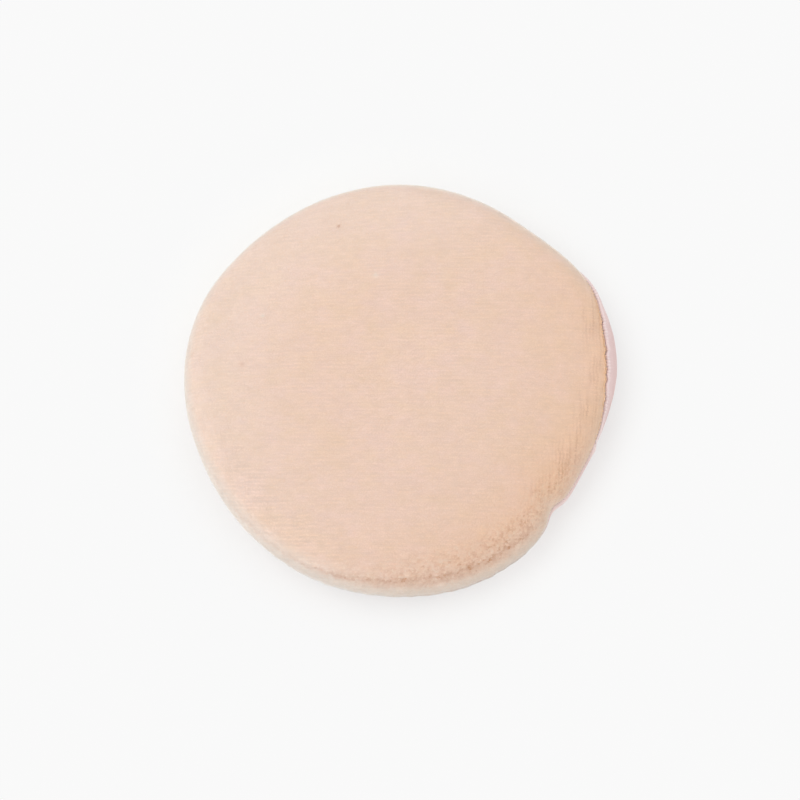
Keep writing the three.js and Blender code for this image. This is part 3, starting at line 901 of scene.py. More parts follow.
@dataclass(frozen=True)
class PileMarks:
    """Marks on the pile: some that sewing, use and the nap leave, and painted shade and light where it folds,
    curves and meets the satin. A stretch is where a mark begins or ends.
    """

    # Painted shade along the front fold: where it is full, the fine line in the crease, the broad shade above
    # it, the shade on the roll and the shade just below the line.
    full_fold: tuple[float, float] = (-86, -62)
    faint: float = 0.3
    fold_dark: float = 0.4
    fold_spread: float = 6
    fold_wander: float = 4
    shaded_turn: float = 10
    shaded_spread: float = 16
    shaded: float = 0.16
    roll_turn: float = 16
    roll_spread: float = 14
    roll_dark: float = 0.08
    roll_starts: tuple[float, float] = (-96, -80)
    below_turn: float = 11
    below_spread: float = 8
    below: float = 0.25
    below_starts: tuple[float, float] = (-72, -50)
    below_ends: tuple[float, float] = (-24, -10)
    worn_starts: tuple[float, float] = (-80, -16)
    worn_ends: tuple[float, float] = (0, 36)
    worn_far: float = 2.7 * MM
    worn_near: float = 1.3 * MM
    worn_spread: float = 1.7 * MM
    worn_blend: tuple[float, float] = (-20, 20)
    worn_bare: tuple[float, float] = (0.04, 0.46)
    worn_bleached: float = 0.6
    worn_warm: float = 0.08
    # A painted shadow line below the roll at the front: its place, width, wander, stretch and darkness.
    under_turn: float = 2
    under_spread: float = 2.4
    under_wander: float = 1.5
    under_starts: tuple[float, float] = (-60, -34)
    under_ends: tuple[float, float] = (-24, -8)
    under_dark: float = 0.06
    under_shadow_share: tuple[float, float] = (0.6, 0.5)
    # Painted shade in the crevice where the pile meets the satin, darker and warmer there.
    seam_inset: float = 0.1 * MM
    seam_spread: float = 0.45 * MM
    seam_shade: tuple[float, float] = (0.04, 0.3)
    seam_warm: float = 0.5
    satin_starts: tuple[float, float] = (6, 20)
    satin_ends: tuple[float, float] = (60, 80)
    wale_size: float = 0.27 * MM
    wale_starts: tuple[float, float] = (-16, 12)
    wale_ends: tuple[float, float] = (52, 76)
    wale_pitch: float = 0.48 * MM
    wale_inset: float = 2.4 * MM
    wale_spread: float = 2.1 * MM
    wale_dark: float = 0.24
    wale_drift: float = 0.12 * MM
    wale_long: float = 0.12
    wale_even: float = 0.5
    wale_uneven: float = 0.8
    # Painted shade that tones down the left rim, which faces the light.
    lit_rim_shade: float = 0.05
    # A warmer band of painted shade inside the front outline; its stretch also thins the painted sheen beside
    # the satin.
    tinted_starts: tuple[float, float] = (-14, 6)
    tinted_inset: float = 4.5 * MM
    tinted_spread: float = 3.5 * MM
    tinted: float = 0.12
    open_starts: tuple[float, float] = (-125, -105)
    open_ends: tuple[float, float] = (-80, -60)
    open_inset: float = 3 * MM
    open_spread: float = 2.6 * MM
    # A painted sheen down the sides, and painted light on top towards the light.
    painted_sheen_sides: float = 0.88
    painted_light_top: float = 0.28
    lit_way: tuple[float, float] = (-0.78, 0.62)
    # Painted shade towards the right edge, away from the light, and by the wales at the right.
    warm_edge: float = 0.27
    warm_way: tuple[float, float] = (0.94, -0.34)
    warm_wales: float = 0.15
    row_shade: float = 0.014
    dash_shade: float = 0.026
    wale_shade: float = 0.03

    def grain(self, at: Places) -> Array:
        """Noise as fine as the tufts, about -1 to 1."""
        return 0.7 * at.noise(0.3 * MM, 16) + 0.6 * at.noise(0.17 * MM, 18)

    def worn(self, at: Places) -> Array:
        """Where the pile is worn: a band inside the outline, further in by the fold than beside the satin."""
        middle = self.worn_far + (self.worn_near - self.worn_far) * stepped(at.around, self.worn_blend)
        return bump(at.inset, middle, self.worn_spread) * at.between(self.worn_starts, self.worn_ends)

    def wales(self, at: Places) -> Array:
        """Lines that open between the wales of the knit where the cloth turns down at the right, with painted
        shade in the gaps and painted light along the ridges.
        """
        drifted = at.u + self.wale_drift * at.noise(1.1 * MM, 17)
        lines = self.wale_even * np.cos(2 * np.pi * drifted / self.wale_pitch)
        uneven = patches(drifted + 20 * MM, self.wale_long * at.v, self.wale_size, 13)
        lines = (lines + self.wale_uneven * uneven) * bump(at.inset, self.wale_inset, self.wale_spread)
        return lines * at.between(self.wale_starts, self.wale_ends)

    def seam(self, at: Places) -> Array:
        """Where the pile ends beside the satin: painted shade darkens and warms the crevice there, and a little
        painted light lifts the pile's edge.
        """
        beside = bump(at.to_seam, self.seam_inset, self.seam_spread)
        return beside * at.between(self.satin_starts, self.satin_ends)

    def front(self, at: Places, grain: Array) -> Array:
        """Painted shade along the fold at the front: a fine dark line in the crease, a broad shade above it and
        a shade just below it.
        """
        middle = SHAPE.fold_turn(at.around) + self.fold_wander * at.noise(0.7 * MM, 14)
        line = bump(at.turn, middle, self.fold_spread) * (0.85 + 0.35 * at.noise(0.42 * MM, 15) + 0.28 * grain)
        above = bump(at.turn, middle + self.shaded_turn, self.shaded_spread) * (0.6 + 0.9 * grain)
        below = bump(at.turn, middle - self.below_turn, self.below_spread) * (1 + 0.4 * grain)
        strength = self.faint + (1 - self.faint) * stepped(at.around, self.full_fold)
        shades = strength * (self.fold_dark * line + self.shaded * above)
        below = below * at.between(self.below_starts, self.below_ends)
        return SHAPE.fold_along(at.around) * shades + self.below * below

    def under_shadow(self, at: Places) -> Array:
        """A painted shadow line below the roll at the front, which shows as a thin dark line along the outline.
        """
        middle = self.under_turn + self.under_wander * at.noise(1.3 * MM, 20)
        return bump(at.turn, middle, self.under_spread) * at.between(self.under_starts, self.under_ends)

    def fold(self, at: Places) -> Array:
        """How far the pile takes the dark fold colour: painted shade along the front fold, on the shadow line
        under the roll, in the crevice at the seam and in the gaps between wales, and wear where it is worn.
        """
        grain = self.grain(at)
        dark = np.clip(grain, 0, 1)
        # Painted shade of the front fold and of the shadow line below the roll.
        fold = self.front(at, grain) + self.under_shadow(at) * (self.under_shadow_share[0] + self.under_shadow_share[1] * grain)
        for where, bare in ((self.worn(at), self.worn_bare), (self.seam(at), self.seam_shade)):
            fold = fold + where * (bare[0] + bare[1] * dark)
        # Painted shade in the gaps between the wales.
        return fold + self.wale_dark * np.clip(-self.wales(at), 0, 1)

    def pale(self, at: Places) -> Array:
        """How far the pile is paler: a painted sheen down its sides, painted light on top towards the lit left
        and far edges, and pale wear where it is worn.
        """
        tinted = 1 - 0.6 * at.between(self.tinted_starts, self.satin_ends)
        sides = self.painted_sheen_sides * stepped(90 - at.turn, (15, 80)) * tinted
        edge = stepped(np.hypot(at.u, at.v), (10 * MM, 30 * MM))
        top = self.painted_light_top * edge * np.clip(0.35 + at.facing(*self.lit_way), 0, 1)
        worn = self.worn_bleached * self.worn(at) * np.clip(-self.grain(at), 0, 1)
        return np.maximum(sides, top) + worn

    def warm_shade_and_wear(self, at: Places) -> Array:
        """How far the pile is warmer and more orange: painted shade on the side away from the light, towards the
        right and front edges, and in the crevice by the satin, and wear on the worn band.
        """
        edge = stepped(np.hypot(at.u, at.v), (8 * MM, 32 * MM))
        right = at.between(self.wale_starts, self.wale_ends) * bump(at.inset, 2 * MM, 2.4 * MM)
        front = bump(at.inset, self.tinted_inset, self.tinted_spread)
        front = front * at.between(self.worn_starts, self.worn_ends)
        worn = self.worn_warm * self.worn(at) + self.seam_warm * self.seam(at) + self.tinted * front
        facing = np.clip(at.facing(*self.warm_way), 0, 1)
        return self.warm_edge * edge * facing + worn + self.warm_wales * right

    def rosy(self, at: Places) -> Array:
        """Patches of a pinker dye, some of them drawn out along the rows."""
        small, middling, large = at.noise(0.55 * MM, 8, 0.4), at.noise(2.2 * MM, 10), at.noise(5 * MM, 9)
        return 0.5 + 0.28 * small + 0.32 * middling + 0.2 * large

    def tone(self, at: Places, pitch: float) -> Array:
        """Lighter and darker: rows of stitches so far apart, dashes along them and wear, with painted shade on
        the roll below the fold, on the shadow line under it, on the lit left rim and between wales, and a
        painted lift by the satin.
        """
        rows = np.cos(2 * np.pi * (at.v + 0.15 * MM * at.noise(2 * MM, 5)) / pitch)
        opened = bump(at.inset, self.open_inset, self.open_spread)
        opened = opened * at.between(self.open_starts, self.open_ends)
        rows = rows * (1 + at.noise(0.9 * MM, 19) + 1.5 * opened)
        dashes = at.noise(0.3 * MM, 12, 0.33) * (1 + opened)
        # Painted shade on the roll below the fold, along the shadow line under it, and on the left rim, which
        # faces the light.
        roll = SHAPE.fold_along(at.around) * bump(at.turn, self.roll_turn, self.roll_spread)
        dark = self.roll_dark * roll * stepped(at.around, self.roll_starts) + self.under_dark * self.under_shadow(at)
        dark = dark + self.lit_rim_shade * bump(at.inset, 0, 1.8 * MM) * np.clip(at.facing(-1, 0.1), 0, 1)
        # Wear on the worn band, and a painted lift of light on the pile's edge by the satin.
        worn = 0.02 * self.worn(at) * self.grain(at) + 0.05 * self.seam(at) - 0.004
        # Rows and dashes of the knit, and painted shade and light along the wales.
        lines = self.row_shade * rows + self.dash_shade * dashes + self.wale_shade * self.wales(at)
        return lines + worn - dark


MARKS = PileMarks()


@dataclass
class Cover:
    """A cover that was cut as a disc: an outer and an inner skin that meet at its turned-in edge."""

    upper: bool = True
    inner_step: int = 4
    surface: ClothSurface = field(default=None, repr=False)

    def __post_init__(self) -> None:
        """Works out the table of the cover's outer surface."""
        self.surface = ClothSurface.along(lambda angle: cover_profile(angle, self.upper), self.upper)

    def cut_radius(self) -> float:
        """Radius of the disc as it was cut: the mean length of a section with its turned-in edge."""
        return float(self.surface.lengths[:-1].mean())

    def give_skins(self, piece: bpy.types.Object, name: str, values: Array, middle: list[float]) -> None:
        """Stores the outer skin's values on both skins, and those of their two points on the axis."""
        both = np.concatenate([values, values[:, ::-self.inner_step]], axis=1).reshape(-1, 3)
        give_values(piece, name, np.concatenate([both, [middle, middle]]))


@dataclass
class FaceCover(Cover):
    """The velour cover: a knitted backing and the cut pile that stands on it in rows.

    The cloth's rows run across the photograph, which is row_angle round the puff from the band. The pile is so
    dense that it is one bed up to bed_depth under its tips. Above that it shows as a tuft at each quarter of a
    stitch: a three-sided strand with a blunt tip, rooted in the bed.
    """

    cloth: float = 1.0 * MM
    bed_depth: float = 0.13 * MM
    crushed_bed: float = 0.25 * MM
    fuzz: float = 0.1 * MM
    tuft_height: float = 0.32 * MM
    wale_pitch: float = 0.40 * MM
    course_pitch: float = 0.55 * MM
    row_angle: float = 40
    tufts_across: int = 2
    tuft_width: float = 0.17 * MM
    jitter: tuple[float, float] = (0.42, 0.36)
    nap: float = 0.16
    nap_way: tuple[float, float] = (0.5, -0.6)
    nap_drift: float = 0.3
    nap_scatter: float = 0.05
    course_rise: float = 0.025 * MM
    height_scatter: float = 0.012 * MM
    tone_scatter: float = 0.006
    uneven_dye: float = 0.06
    shoulder: float = 0.84
    # Shares of the tip colour at a tuft's root ring, shoulder ring and tip, and on the bed; the rest is painted
    # shade towards the roots.
    shown_heights: tuple[float, float, float] = (0.55, 0.95, 1.0)
    bed_height: float = 0.75
    pile_rings: int = 5
    cell_margin: float = 0.06
    cell_heights: tuple[float, float] = (0.15, 0.75)
    cap_height: float = 0.2
    base_height: float = 0.12
    backing_rows: int = 150
    turned_thin: float = 0.3
    seed: int = 7

    def turned_share(self, angle: Array, length: Array) -> Array:
        """0 on the outside of the puff and 1 where the cloth is turned in at the seam."""
        past = length - self.surface.to_seam(angle)
        return stepped(past, (0, SEAM.velour_lip))

    def make_backing(self) -> bpy.types.Object:
        """The knitted backing and the bed of the pile: two skins that meet at the turned-in edge.

        Returns:
            The piece, which stands for the face cover's solid.
        """
        angles = np.arange(0, 360, 1.0)[:, None]
        shares = np.linspace(0, 1, self.backing_rows)[None, 1:]
        length = self.surface.total(angles) * shares
        points, normals = self.surface.at(angles, length)
        turned = self.turned_share(angles, length)[..., None]
        bed = self.bed_depth - self.fuzz + (self.crushed_bed - self.bed_depth) * turned
        outer = points - normals * bed
        inner = (points - normals * (self.cloth - self.turned_thin * self.cloth * turned))[:, ::-self.inner_step]
        top = np.array([0, 0, SHAPE.face_top() - self.bed_depth])
        low = np.array([0, 0, SHAPE.face_top() - self.cloth])
        piece = capped_turn("velour_backing", np.concatenate([outer, inner], axis=1), top, low, False)
        u, v = self.on_cloth(angles, length)
        pile, shade_wear_dye = self.finish_values(u, v, points, angles, np.zeros_like(u))
        # The bed between the tufts takes the painted shade of the roots.
        pile[..., 1] = self.bed_height
        self.give_skins(piece, "pile", pile, [0.5, self.bed_height, 0])
        self.give_skins(piece, "shade_wear_dye", shade_wear_dye, [0, 0, 0])
        ready(piece, PILE.material())
        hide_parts("face_cover")
        return piece

    def on_cloth(self, angle: Array, length: Array) -> tuple[Array, Array]:
        """A place on the flat cloth along its rows and across them."""
        turn = np.radians(angle - self.row_angle)
        return length * np.cos(turn), length * np.sin(turn)

    def finish_values(self, u: Array, v: Array, points: Array, angle: Array,
                      extra: Array) -> tuple[Array, Array]:
        """What the pile's material reads: tone, height and paleness, then fold, warmth and rosiness, which carry
        painted shade and light besides wear and dye.

        Args:
            u: Place along the cloth's rows.
            v: Place across them.
            points: Points of the outer surface there.
            angle: Angles round the puff.
            extra: Added to the tone.

        Returns:
            The two stored vectors, each with 3 along the last axis: tone, height and paleness, and fold, warmth
            and rosiness.
        """
        at = Places(
            u, v, wrapped(angle), self.section_turn(points, angle),
            SHAPE.rim_reach(angle) - np.hypot(points[..., 0], points[..., 1]),
            self.surface.to_seam(angle) - np.hypot(u, v),
        )
        tone = 0.5 + extra + MARKS.tone(at, self.course_pitch)
        pale, fold = MARKS.pale(at), MARKS.fold(at)
        for fleck in FLECKS:
            share = fleck.share(u, v)
            fold = fold + np.maximum(fleck.dark, 0) * share
            pale = pale + np.maximum(-fleck.dark, 0) * share
        pile = np.stack(np.broadcast_arrays(tone, 1.0, np.clip(pale, 0, 1)), -1)
        shade_wear_dye = np.stack(np.broadcast_arrays(fold, MARKS.warm_shade_and_wear(at), MARKS.rosy(at)), -1)
        return pile, np.clip(shade_wear_dye, 0, 1)

    def tuft_places(self) -> tuple[Array, Array, Array, Array]:
        """Where the tufts stand on the flat cloth: a fine grid, drifted and jittered, cut off at its edge.

        Returns:
            Place along the rows and across them, and the same place as an angle and a length.
        """
        rng = np.random.default_rng(self.seed)
        reach = float(self.surface.lengths.max())
        step_u, step_v = self.wale_pitch / self.tufts_across, self.course_pitch / self.tufts_across
        u, v = np.meshgrid(np.arange(-reach, reach, step_u), np.arange(-reach, reach, step_v))
        u, v = u.ravel(), v.ravel()
        u = u + rng.uniform(-self.jitter[0], self.jitter[0], u.size) * step_u
        v = v + rng.uniform(-self.jitter[1], self.jitter[1], v.size) * step_v
        angle = np.degrees(np.arctan2(v, u)) + self.row_angle
        length = np.hypot(u, v)
        kept = length < self.surface.to_seam(angle) + SEAM.velour_lip
        return u[kept], v[kept], angle[kept], length[kept]

    def lean(self, rng: np.random.Generator, u: Array, v: Array) -> tuple[Array, Array]:
        """How far each tuft leans along the rows and across them: the nap, which drifts, and its own share."""
        drift_u = self.nap_drift * patches(u, v, 2.2 * MM, 3)
        drift_v = self.nap_drift * patches(u, v, 1.7 * MM, 4)
        lean_u = self.nap * (self.nap_way[0] + drift_u) + rng.normal(0, self.nap_scatter, u.size)
        lean_v = self.nap * (self.nap_way[1] + drift_v) + rng.normal(0, self.nap_scatter, u.size)
        return lean_u, lean_v

    def strands(self, roots: Array, rise: Array, lean: Array, radial: Array) -> Array:
        """Points of the tufts, 7 each: a root ring, a shoulder ring and a tip.

        A ring's centre rises along the cloth's normal and leans with the square of its height.

        Args:
            roots: Where the tufts stand, n by 3.
            rise: From each root straight up to the tuft's height.
            lean: From there to its tip.
            radial: From a ring's centre to its three points, n by 3 by 3.

        Returns:
            The points, n by 7 by 3.
        """
        rings = []
        for share, thickness in ((0.0, 0.95), (self.shoulder, 1.0)):
            centre = roots + rise * share + lean * share**2
            rings.append(centre[:, None] + radial * thickness)
        return np.concatenate([*rings, (roots + rise + lean)[:, None]], axis=1)

    def make_pile(self) -> list[bpy.types.Object]:
        """The pile, in rings of tufts that each make a piece.

        Returns:
            The pieces.
        """
        rng = np.random.default_rng(self.seed + 1)
        u, v, angle, length = self.tuft_places()
        tips, normals = self.surface.at(angle, length)
        ahead, _ = self.surface.at(angle, length + self.surface.step * 2)
        outward = unit(ahead - tips - normals * ((ahead - tips) * normals).sum(-1, keepdims=True))
        across = np.cross(normals, outward)
        turn = np.radians(angle - self.row_angle)[:, None]
        row_way = outward * np.cos(turn) - across * np.sin(turn)
        heap_way = outward * np.sin(turn) + across * np.cos(turn)
        lean_u, lean_v = self.lean(rng, u, v)
        lean = row_way * lean_u[:, None] + heap_way * lean_v[:, None]
        course = np.cos(2 * np.pi * (v + 0.1 * MM * patches(u, v, 3 * MM, 5)) / self.course_pitch)
        height = self.tuft_height + self.fuzz + self.course_rise * course
        height = (height + rng.normal(0, self.height_scatter, u.size))[:, None]
        extra = rng.normal(0, self.tone_scatter, u.size)
        pile, shade_wear_dye = self.finish_values(u, v, tips, angle, extra)
        shade_wear_dye[:, 1] += np.abs(rng.normal(0, self.uneven_dye, u.size))
        width = self.tuft_width * rng.uniform(0.9, 1.1, u.size)
        corners = rng.uniform(0, 2 * np.pi, u.size)[:, None] + 2 * np.pi / 3 * np.arange(3)
        radial = outward[:, None] * np.cos(corners)[..., None] + across[:, None] * np.sin(corners)[..., None]
        roots = tips - normals * self.tuft_height
        points = self.strands(roots, normals * height, lean * height, radial * width[:, None, None])
        soft = unit(normals + lean * 0.8)
        bent = unit(soft[:, None] + 0.12 * radial)
        shading = np.concatenate([bent, bent, soft[:, None]], axis=1)
        pile, shade_wear_dye = (np.repeat(values[:, None], 7, axis=1) for values in (pile, shade_wear_dye))
        # Painted shade towards each tuft's root, by its rings' stored heights.
        pile[..., 1] = np.repeat(self.shown_heights, (3, 3, 1))
        ring_of = np.argsort(np.argsort(length)) * self.pile_rings // len(length)
        material = PILE.material()
        made = []
        for k in range(self.pile_rings):
            chosen = ring_of == k
            piece = self.tufts(f"velour_pile_{k + 1}", points[chosen], shading[chosen])
            give_values(piece, "pile", pile[chosen])
            give_values(piece, "shade_wear_dye", shade_wear_dye[chosen])
            made.append(ready(piece, material))
        return made

    def section_turn(self, points: Array, angle: Array) -> Array:
        """The angle in the section of the rim at which points lie, 90 on the flat of the face."""
        start, middle, half = SHAPE.rim(angle)
        reach = np.hypot(points[..., 0], points[..., 1])
        across = np.clip((reach - start) / SHAPE.rim_width, 0, None) ** (1 / SHAPE.fullness)
        up = (points[..., 2] - middle) / half
        up = np.sign(up) * np.abs(up) ** (1 / SHAPE.fullness)
        return np.degrees(np.arctan2(up, across))

    def tufts(self, name: str, points: Array, shading: Array) -> bpy.types.Object:
        """One piece of the pile.

        Args:
            name: The piece's name.
            points: Tufts by 7 by 3.
            shading: The normals to shade with, of the same shape.

        Returns:
            The piece.
        """
        first = 7 * np.arange(len(points))[:, None, None]
        k = np.arange(3)
        after = (k + 1) % 3
        sides = np.stack([k, after, after + 3, k + 3], -1)
        caps = np.concatenate([np.stack([k + 3, after + 3, np.full(3, 6)], -1), [[2, 1, 0]]])
        piece = mesh_object(name, points, (first + sides).reshape(-1, 4), (first + caps).reshape(-1, 3))
        give_values(piece, "custom_normal", shading)
        layer = piece.data.uv_layers.new(name="OFBake", do_init=False)
        layer.uv.foreach_set("vector", self.bake_map(len(points)).astype(np.float32).ravel())
        return piece

    def bake_map(self, count: int) -> Array:
        """Places of the tufts' corners on the map named OFBake.

        Each tuft has a cell of its own, so that its colours can be baked without an overlap: its three sides
        beside each other with its height up the cell, its caps above them and its base below them.

        Args:
            count: How many tufts.

        Returns:
            A place for each corner of all the quads, then of all the triangles.
        """
        cells = int(np.ceil(count**0.5))
        corner = np.stack([np.arange(count) % cells, np.arange(count) // cells], -1)[:, None, None]
        left, right = np.arange(3) / 3, np.arange(1, 4) / 3
        low, high = (np.full(3, height) for height in self.cell_heights)
        side_map = np.stack([
            np.stack([left, low], -1), np.stack([right, low], -1),
            np.stack([right, high], -1), np.stack([left, high], -1),
        ], 1)
        cap_map = np.stack([
            np.stack([left, high], -1), np.stack([right, high], -1),
            np.stack([(left + right) / 2, high + self.cap_height], -1),
        ], 1)
        end_maps = np.concatenate([cap_map, [[[0, 0], [1, 0], [0.5, self.base_height]]]])
        inner = 1 - 2 * self.cell_margin
        places = [(corner + self.cell_margin + inner * part[None]) / cells for part in (side_map, end_maps)]
        return np.concatenate([part.reshape(-1, 2) for part in places])

    def build(self) -> bpy.types.Object:
        """Builds the backing and the pile.

        Returns:
            The backing, which carries the pile.
        """
        backing = self.make_backing()
        pile = self.make_pile()
        cut = self.cut_radius()
        return backing


@dataclass
class BackCover(Cover):
    """The satin cover, gathered into small puckers where it is sewn in."""

    upper: bool = False
    inner_step: int = 5
    thickness: float = 0.25 * MM
    pucker: float = 0.06 * MM
    gather: float = 0.03 * MM
    pucker_counts: tuple[int, int] = (397, 431)
    pucker_reach: float = 0.5 * MM
    gather_reach: float = 3.5 * MM
    highest: float = 0.1 * MM
    shown: tuple[float, float, float] = (-25, 90, 0.16)
    hidden: tuple[float, float, float] = (90, 335, 1.0)
    fine_from: float = 0.72
    coarse_rows: int = 16
    fine_rows: int = 46
    seed: int = 21

    def puckers(self, angle: Array, length: Array) -> Array:
        """How far the satin stands in or out: waves round the rim that die away from the seam."""
        away = np.abs(length - self.surface.to_seam(angle))
        broad = self.gather * ripple(angle, (37, 53, 71), self.seed) * np.exp(-away / self.gather_reach)
        fine = self.stitches(angle) * self.pucker * np.exp(-away / self.pucker_reach)
        inside = length > self.surface.to_seam(angle) + SEAM.satin_lip
        return np.where(inside, 0, np.minimum(broad + fine, self.highest))

    def stitches(self, angle: Array) -> Array:
        """Waves round the rim as short as the stitches, about -1 to 1."""
        return ripple(angle, self.pucker_counts, self.seed + 1)

    def tint(self, angle: Array, away: Array) -> Array:
        """What the satin's material reads at angles, so far from the seam: a painted highlight, a deeper colour
        that is partly painted shade, and a 0.
        """
        around = wrapped(angle)
        # A painted highlight along the narrow strip of satin that shows near the notch.
        highlit_strip = 1 - 0.2 * stepped(around, (0, 12))
        highlit_strip = highlit_strip * (1 - stepped(around, (20, 31))) * stepped(around, (-24, -18))
        # A painted highlight line on the satin beside the pile's edge.
        beside = 0.8 * bump(away, 0.28 * MM, 0.18 * MM) * (0.75 + 0.25 * self.stitches(angle))
        pale = np.maximum(beside, highlit_strip)
        # A deeper colour all over, with painted shade further from the seam.
        deep = (0.3 + 0.6 * stepped(away, (0.9 * MM, 1.9 * MM))) * (1 - highlit_strip)
        return np.stack(np.broadcast_arrays(np.clip(pale, 0, 1), np.clip(deep, 0, 1), 0), -1)

    def build(self) -> bpy.types.Object:
        """Builds the satin as two skins that meet at the turned-in edge.

        Returns:
            The piece.
        """
        angles = np.concatenate([np.arange(*self.shown), np.arange(*self.hidden)])[:, None]
        coarse = np.linspace(0, self.fine_from, self.coarse_rows)[1:]
        fine = np.linspace(self.fine_from, 1, self.fine_rows)[1:]
        length = self.surface.total(angles) * np.concatenate([coarse, fine])[None, :]
        points, normals = self.surface.at(angles, length)
        relief = self.puckers(angles, length)[..., None]
        outer = points + normals * relief
        inner = (points + normals * (relief - self.thickness))[:, ::-self.inner_step]
        low = np.array([0, 0, SHAPE.underside()])
        top = low + [0, 0, self.thickness]
        piece = capped_turn("satin_back", np.concatenate([outer, inner], axis=1), low, top, True)
        turn = np.radians(angles)
        flat = np.stack(np.broadcast_arrays(length * np.cos(turn), length * np.sin(turn), 0 * length), -1)
        self.give_skins(piece, "flat", flat, [0, 0, 0])
        tint = self.tint(angles, self.surface.to_seam(angles) - length)
        self.give_skins(piece, "tint", tint, [0, 0, 0])
        ready(piece, SATIN.material())
        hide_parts("back_cover")
        cut = self.cut_radius()
        return piece


@dataclass
class FoamFilling:
    """The foam disc, which fills the covers and is rounded by them."""

    gap: float = 0.12 * MM
    velour: float = 1.2 * MM
    satin: float = 0.3 * MM
    unevenness: float = 0.06 * MM
    edge_bulge: float = 0.5 * MM
    settled: float = 0.03 * MM
    rows: int = 40
    edge_rows: int = 24

    def build(self) -> bpy.types.Object:
        """Builds the disc from a section over the face, round a full edge and back under.

        Returns:
            The piece.
        """
        angles = np.arange(0, 360, 2.0)[:, None]
        start, _, _ = SHAPE.rim(angles)
        across = np.linspace(0, 1, self.rows)[None, 1:]
        top = SHAPE.face_height(angles, start * across) - self.velour - self.gap
        low = SHAPE.back_height(angles, start * across) + self.satin + self.gap
        face = np.stack(np.broadcast_arrays(start * across, top), -1)
        back = np.stack(np.broadcast_arrays(start * across, low), -1)[:, ::-1]
        turns = np.linspace(90, -90, self.edge_rows)[None, 1:-1]
        middle, half = (top[:, -1:] + low[:, -1:]) / 2, (top[:, -1:] - low[:, -1:]) / 2
        bulge = self.gap + self.edge_bulge
        edge = np.stack(np.broadcast_arrays(
            start + bulge * np.cos(np.radians(turns)), middle + half * np.sin(np.radians(turns))), -1)
        rows = placed(angles, np.concatenate([face, edge, back], axis=1))
        uneven = patches(rows[..., 0] + 0.1, rows[..., 1] + 0.1, 4 * MM, 31)
        rows[..., 2] += self.unevenness * uneven - self.settled
        first = np.array([0, 0, SHAPE.face_top() - self.velour - self.gap - self.settled])
        last = np.array([0, 0, SHAPE.underside() + self.satin + self.gap])
        piece = capped_turn("foam_filling", rows, first, last, False)
        ready(piece, FOAM.material())
        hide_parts("foam_core")
        return piece


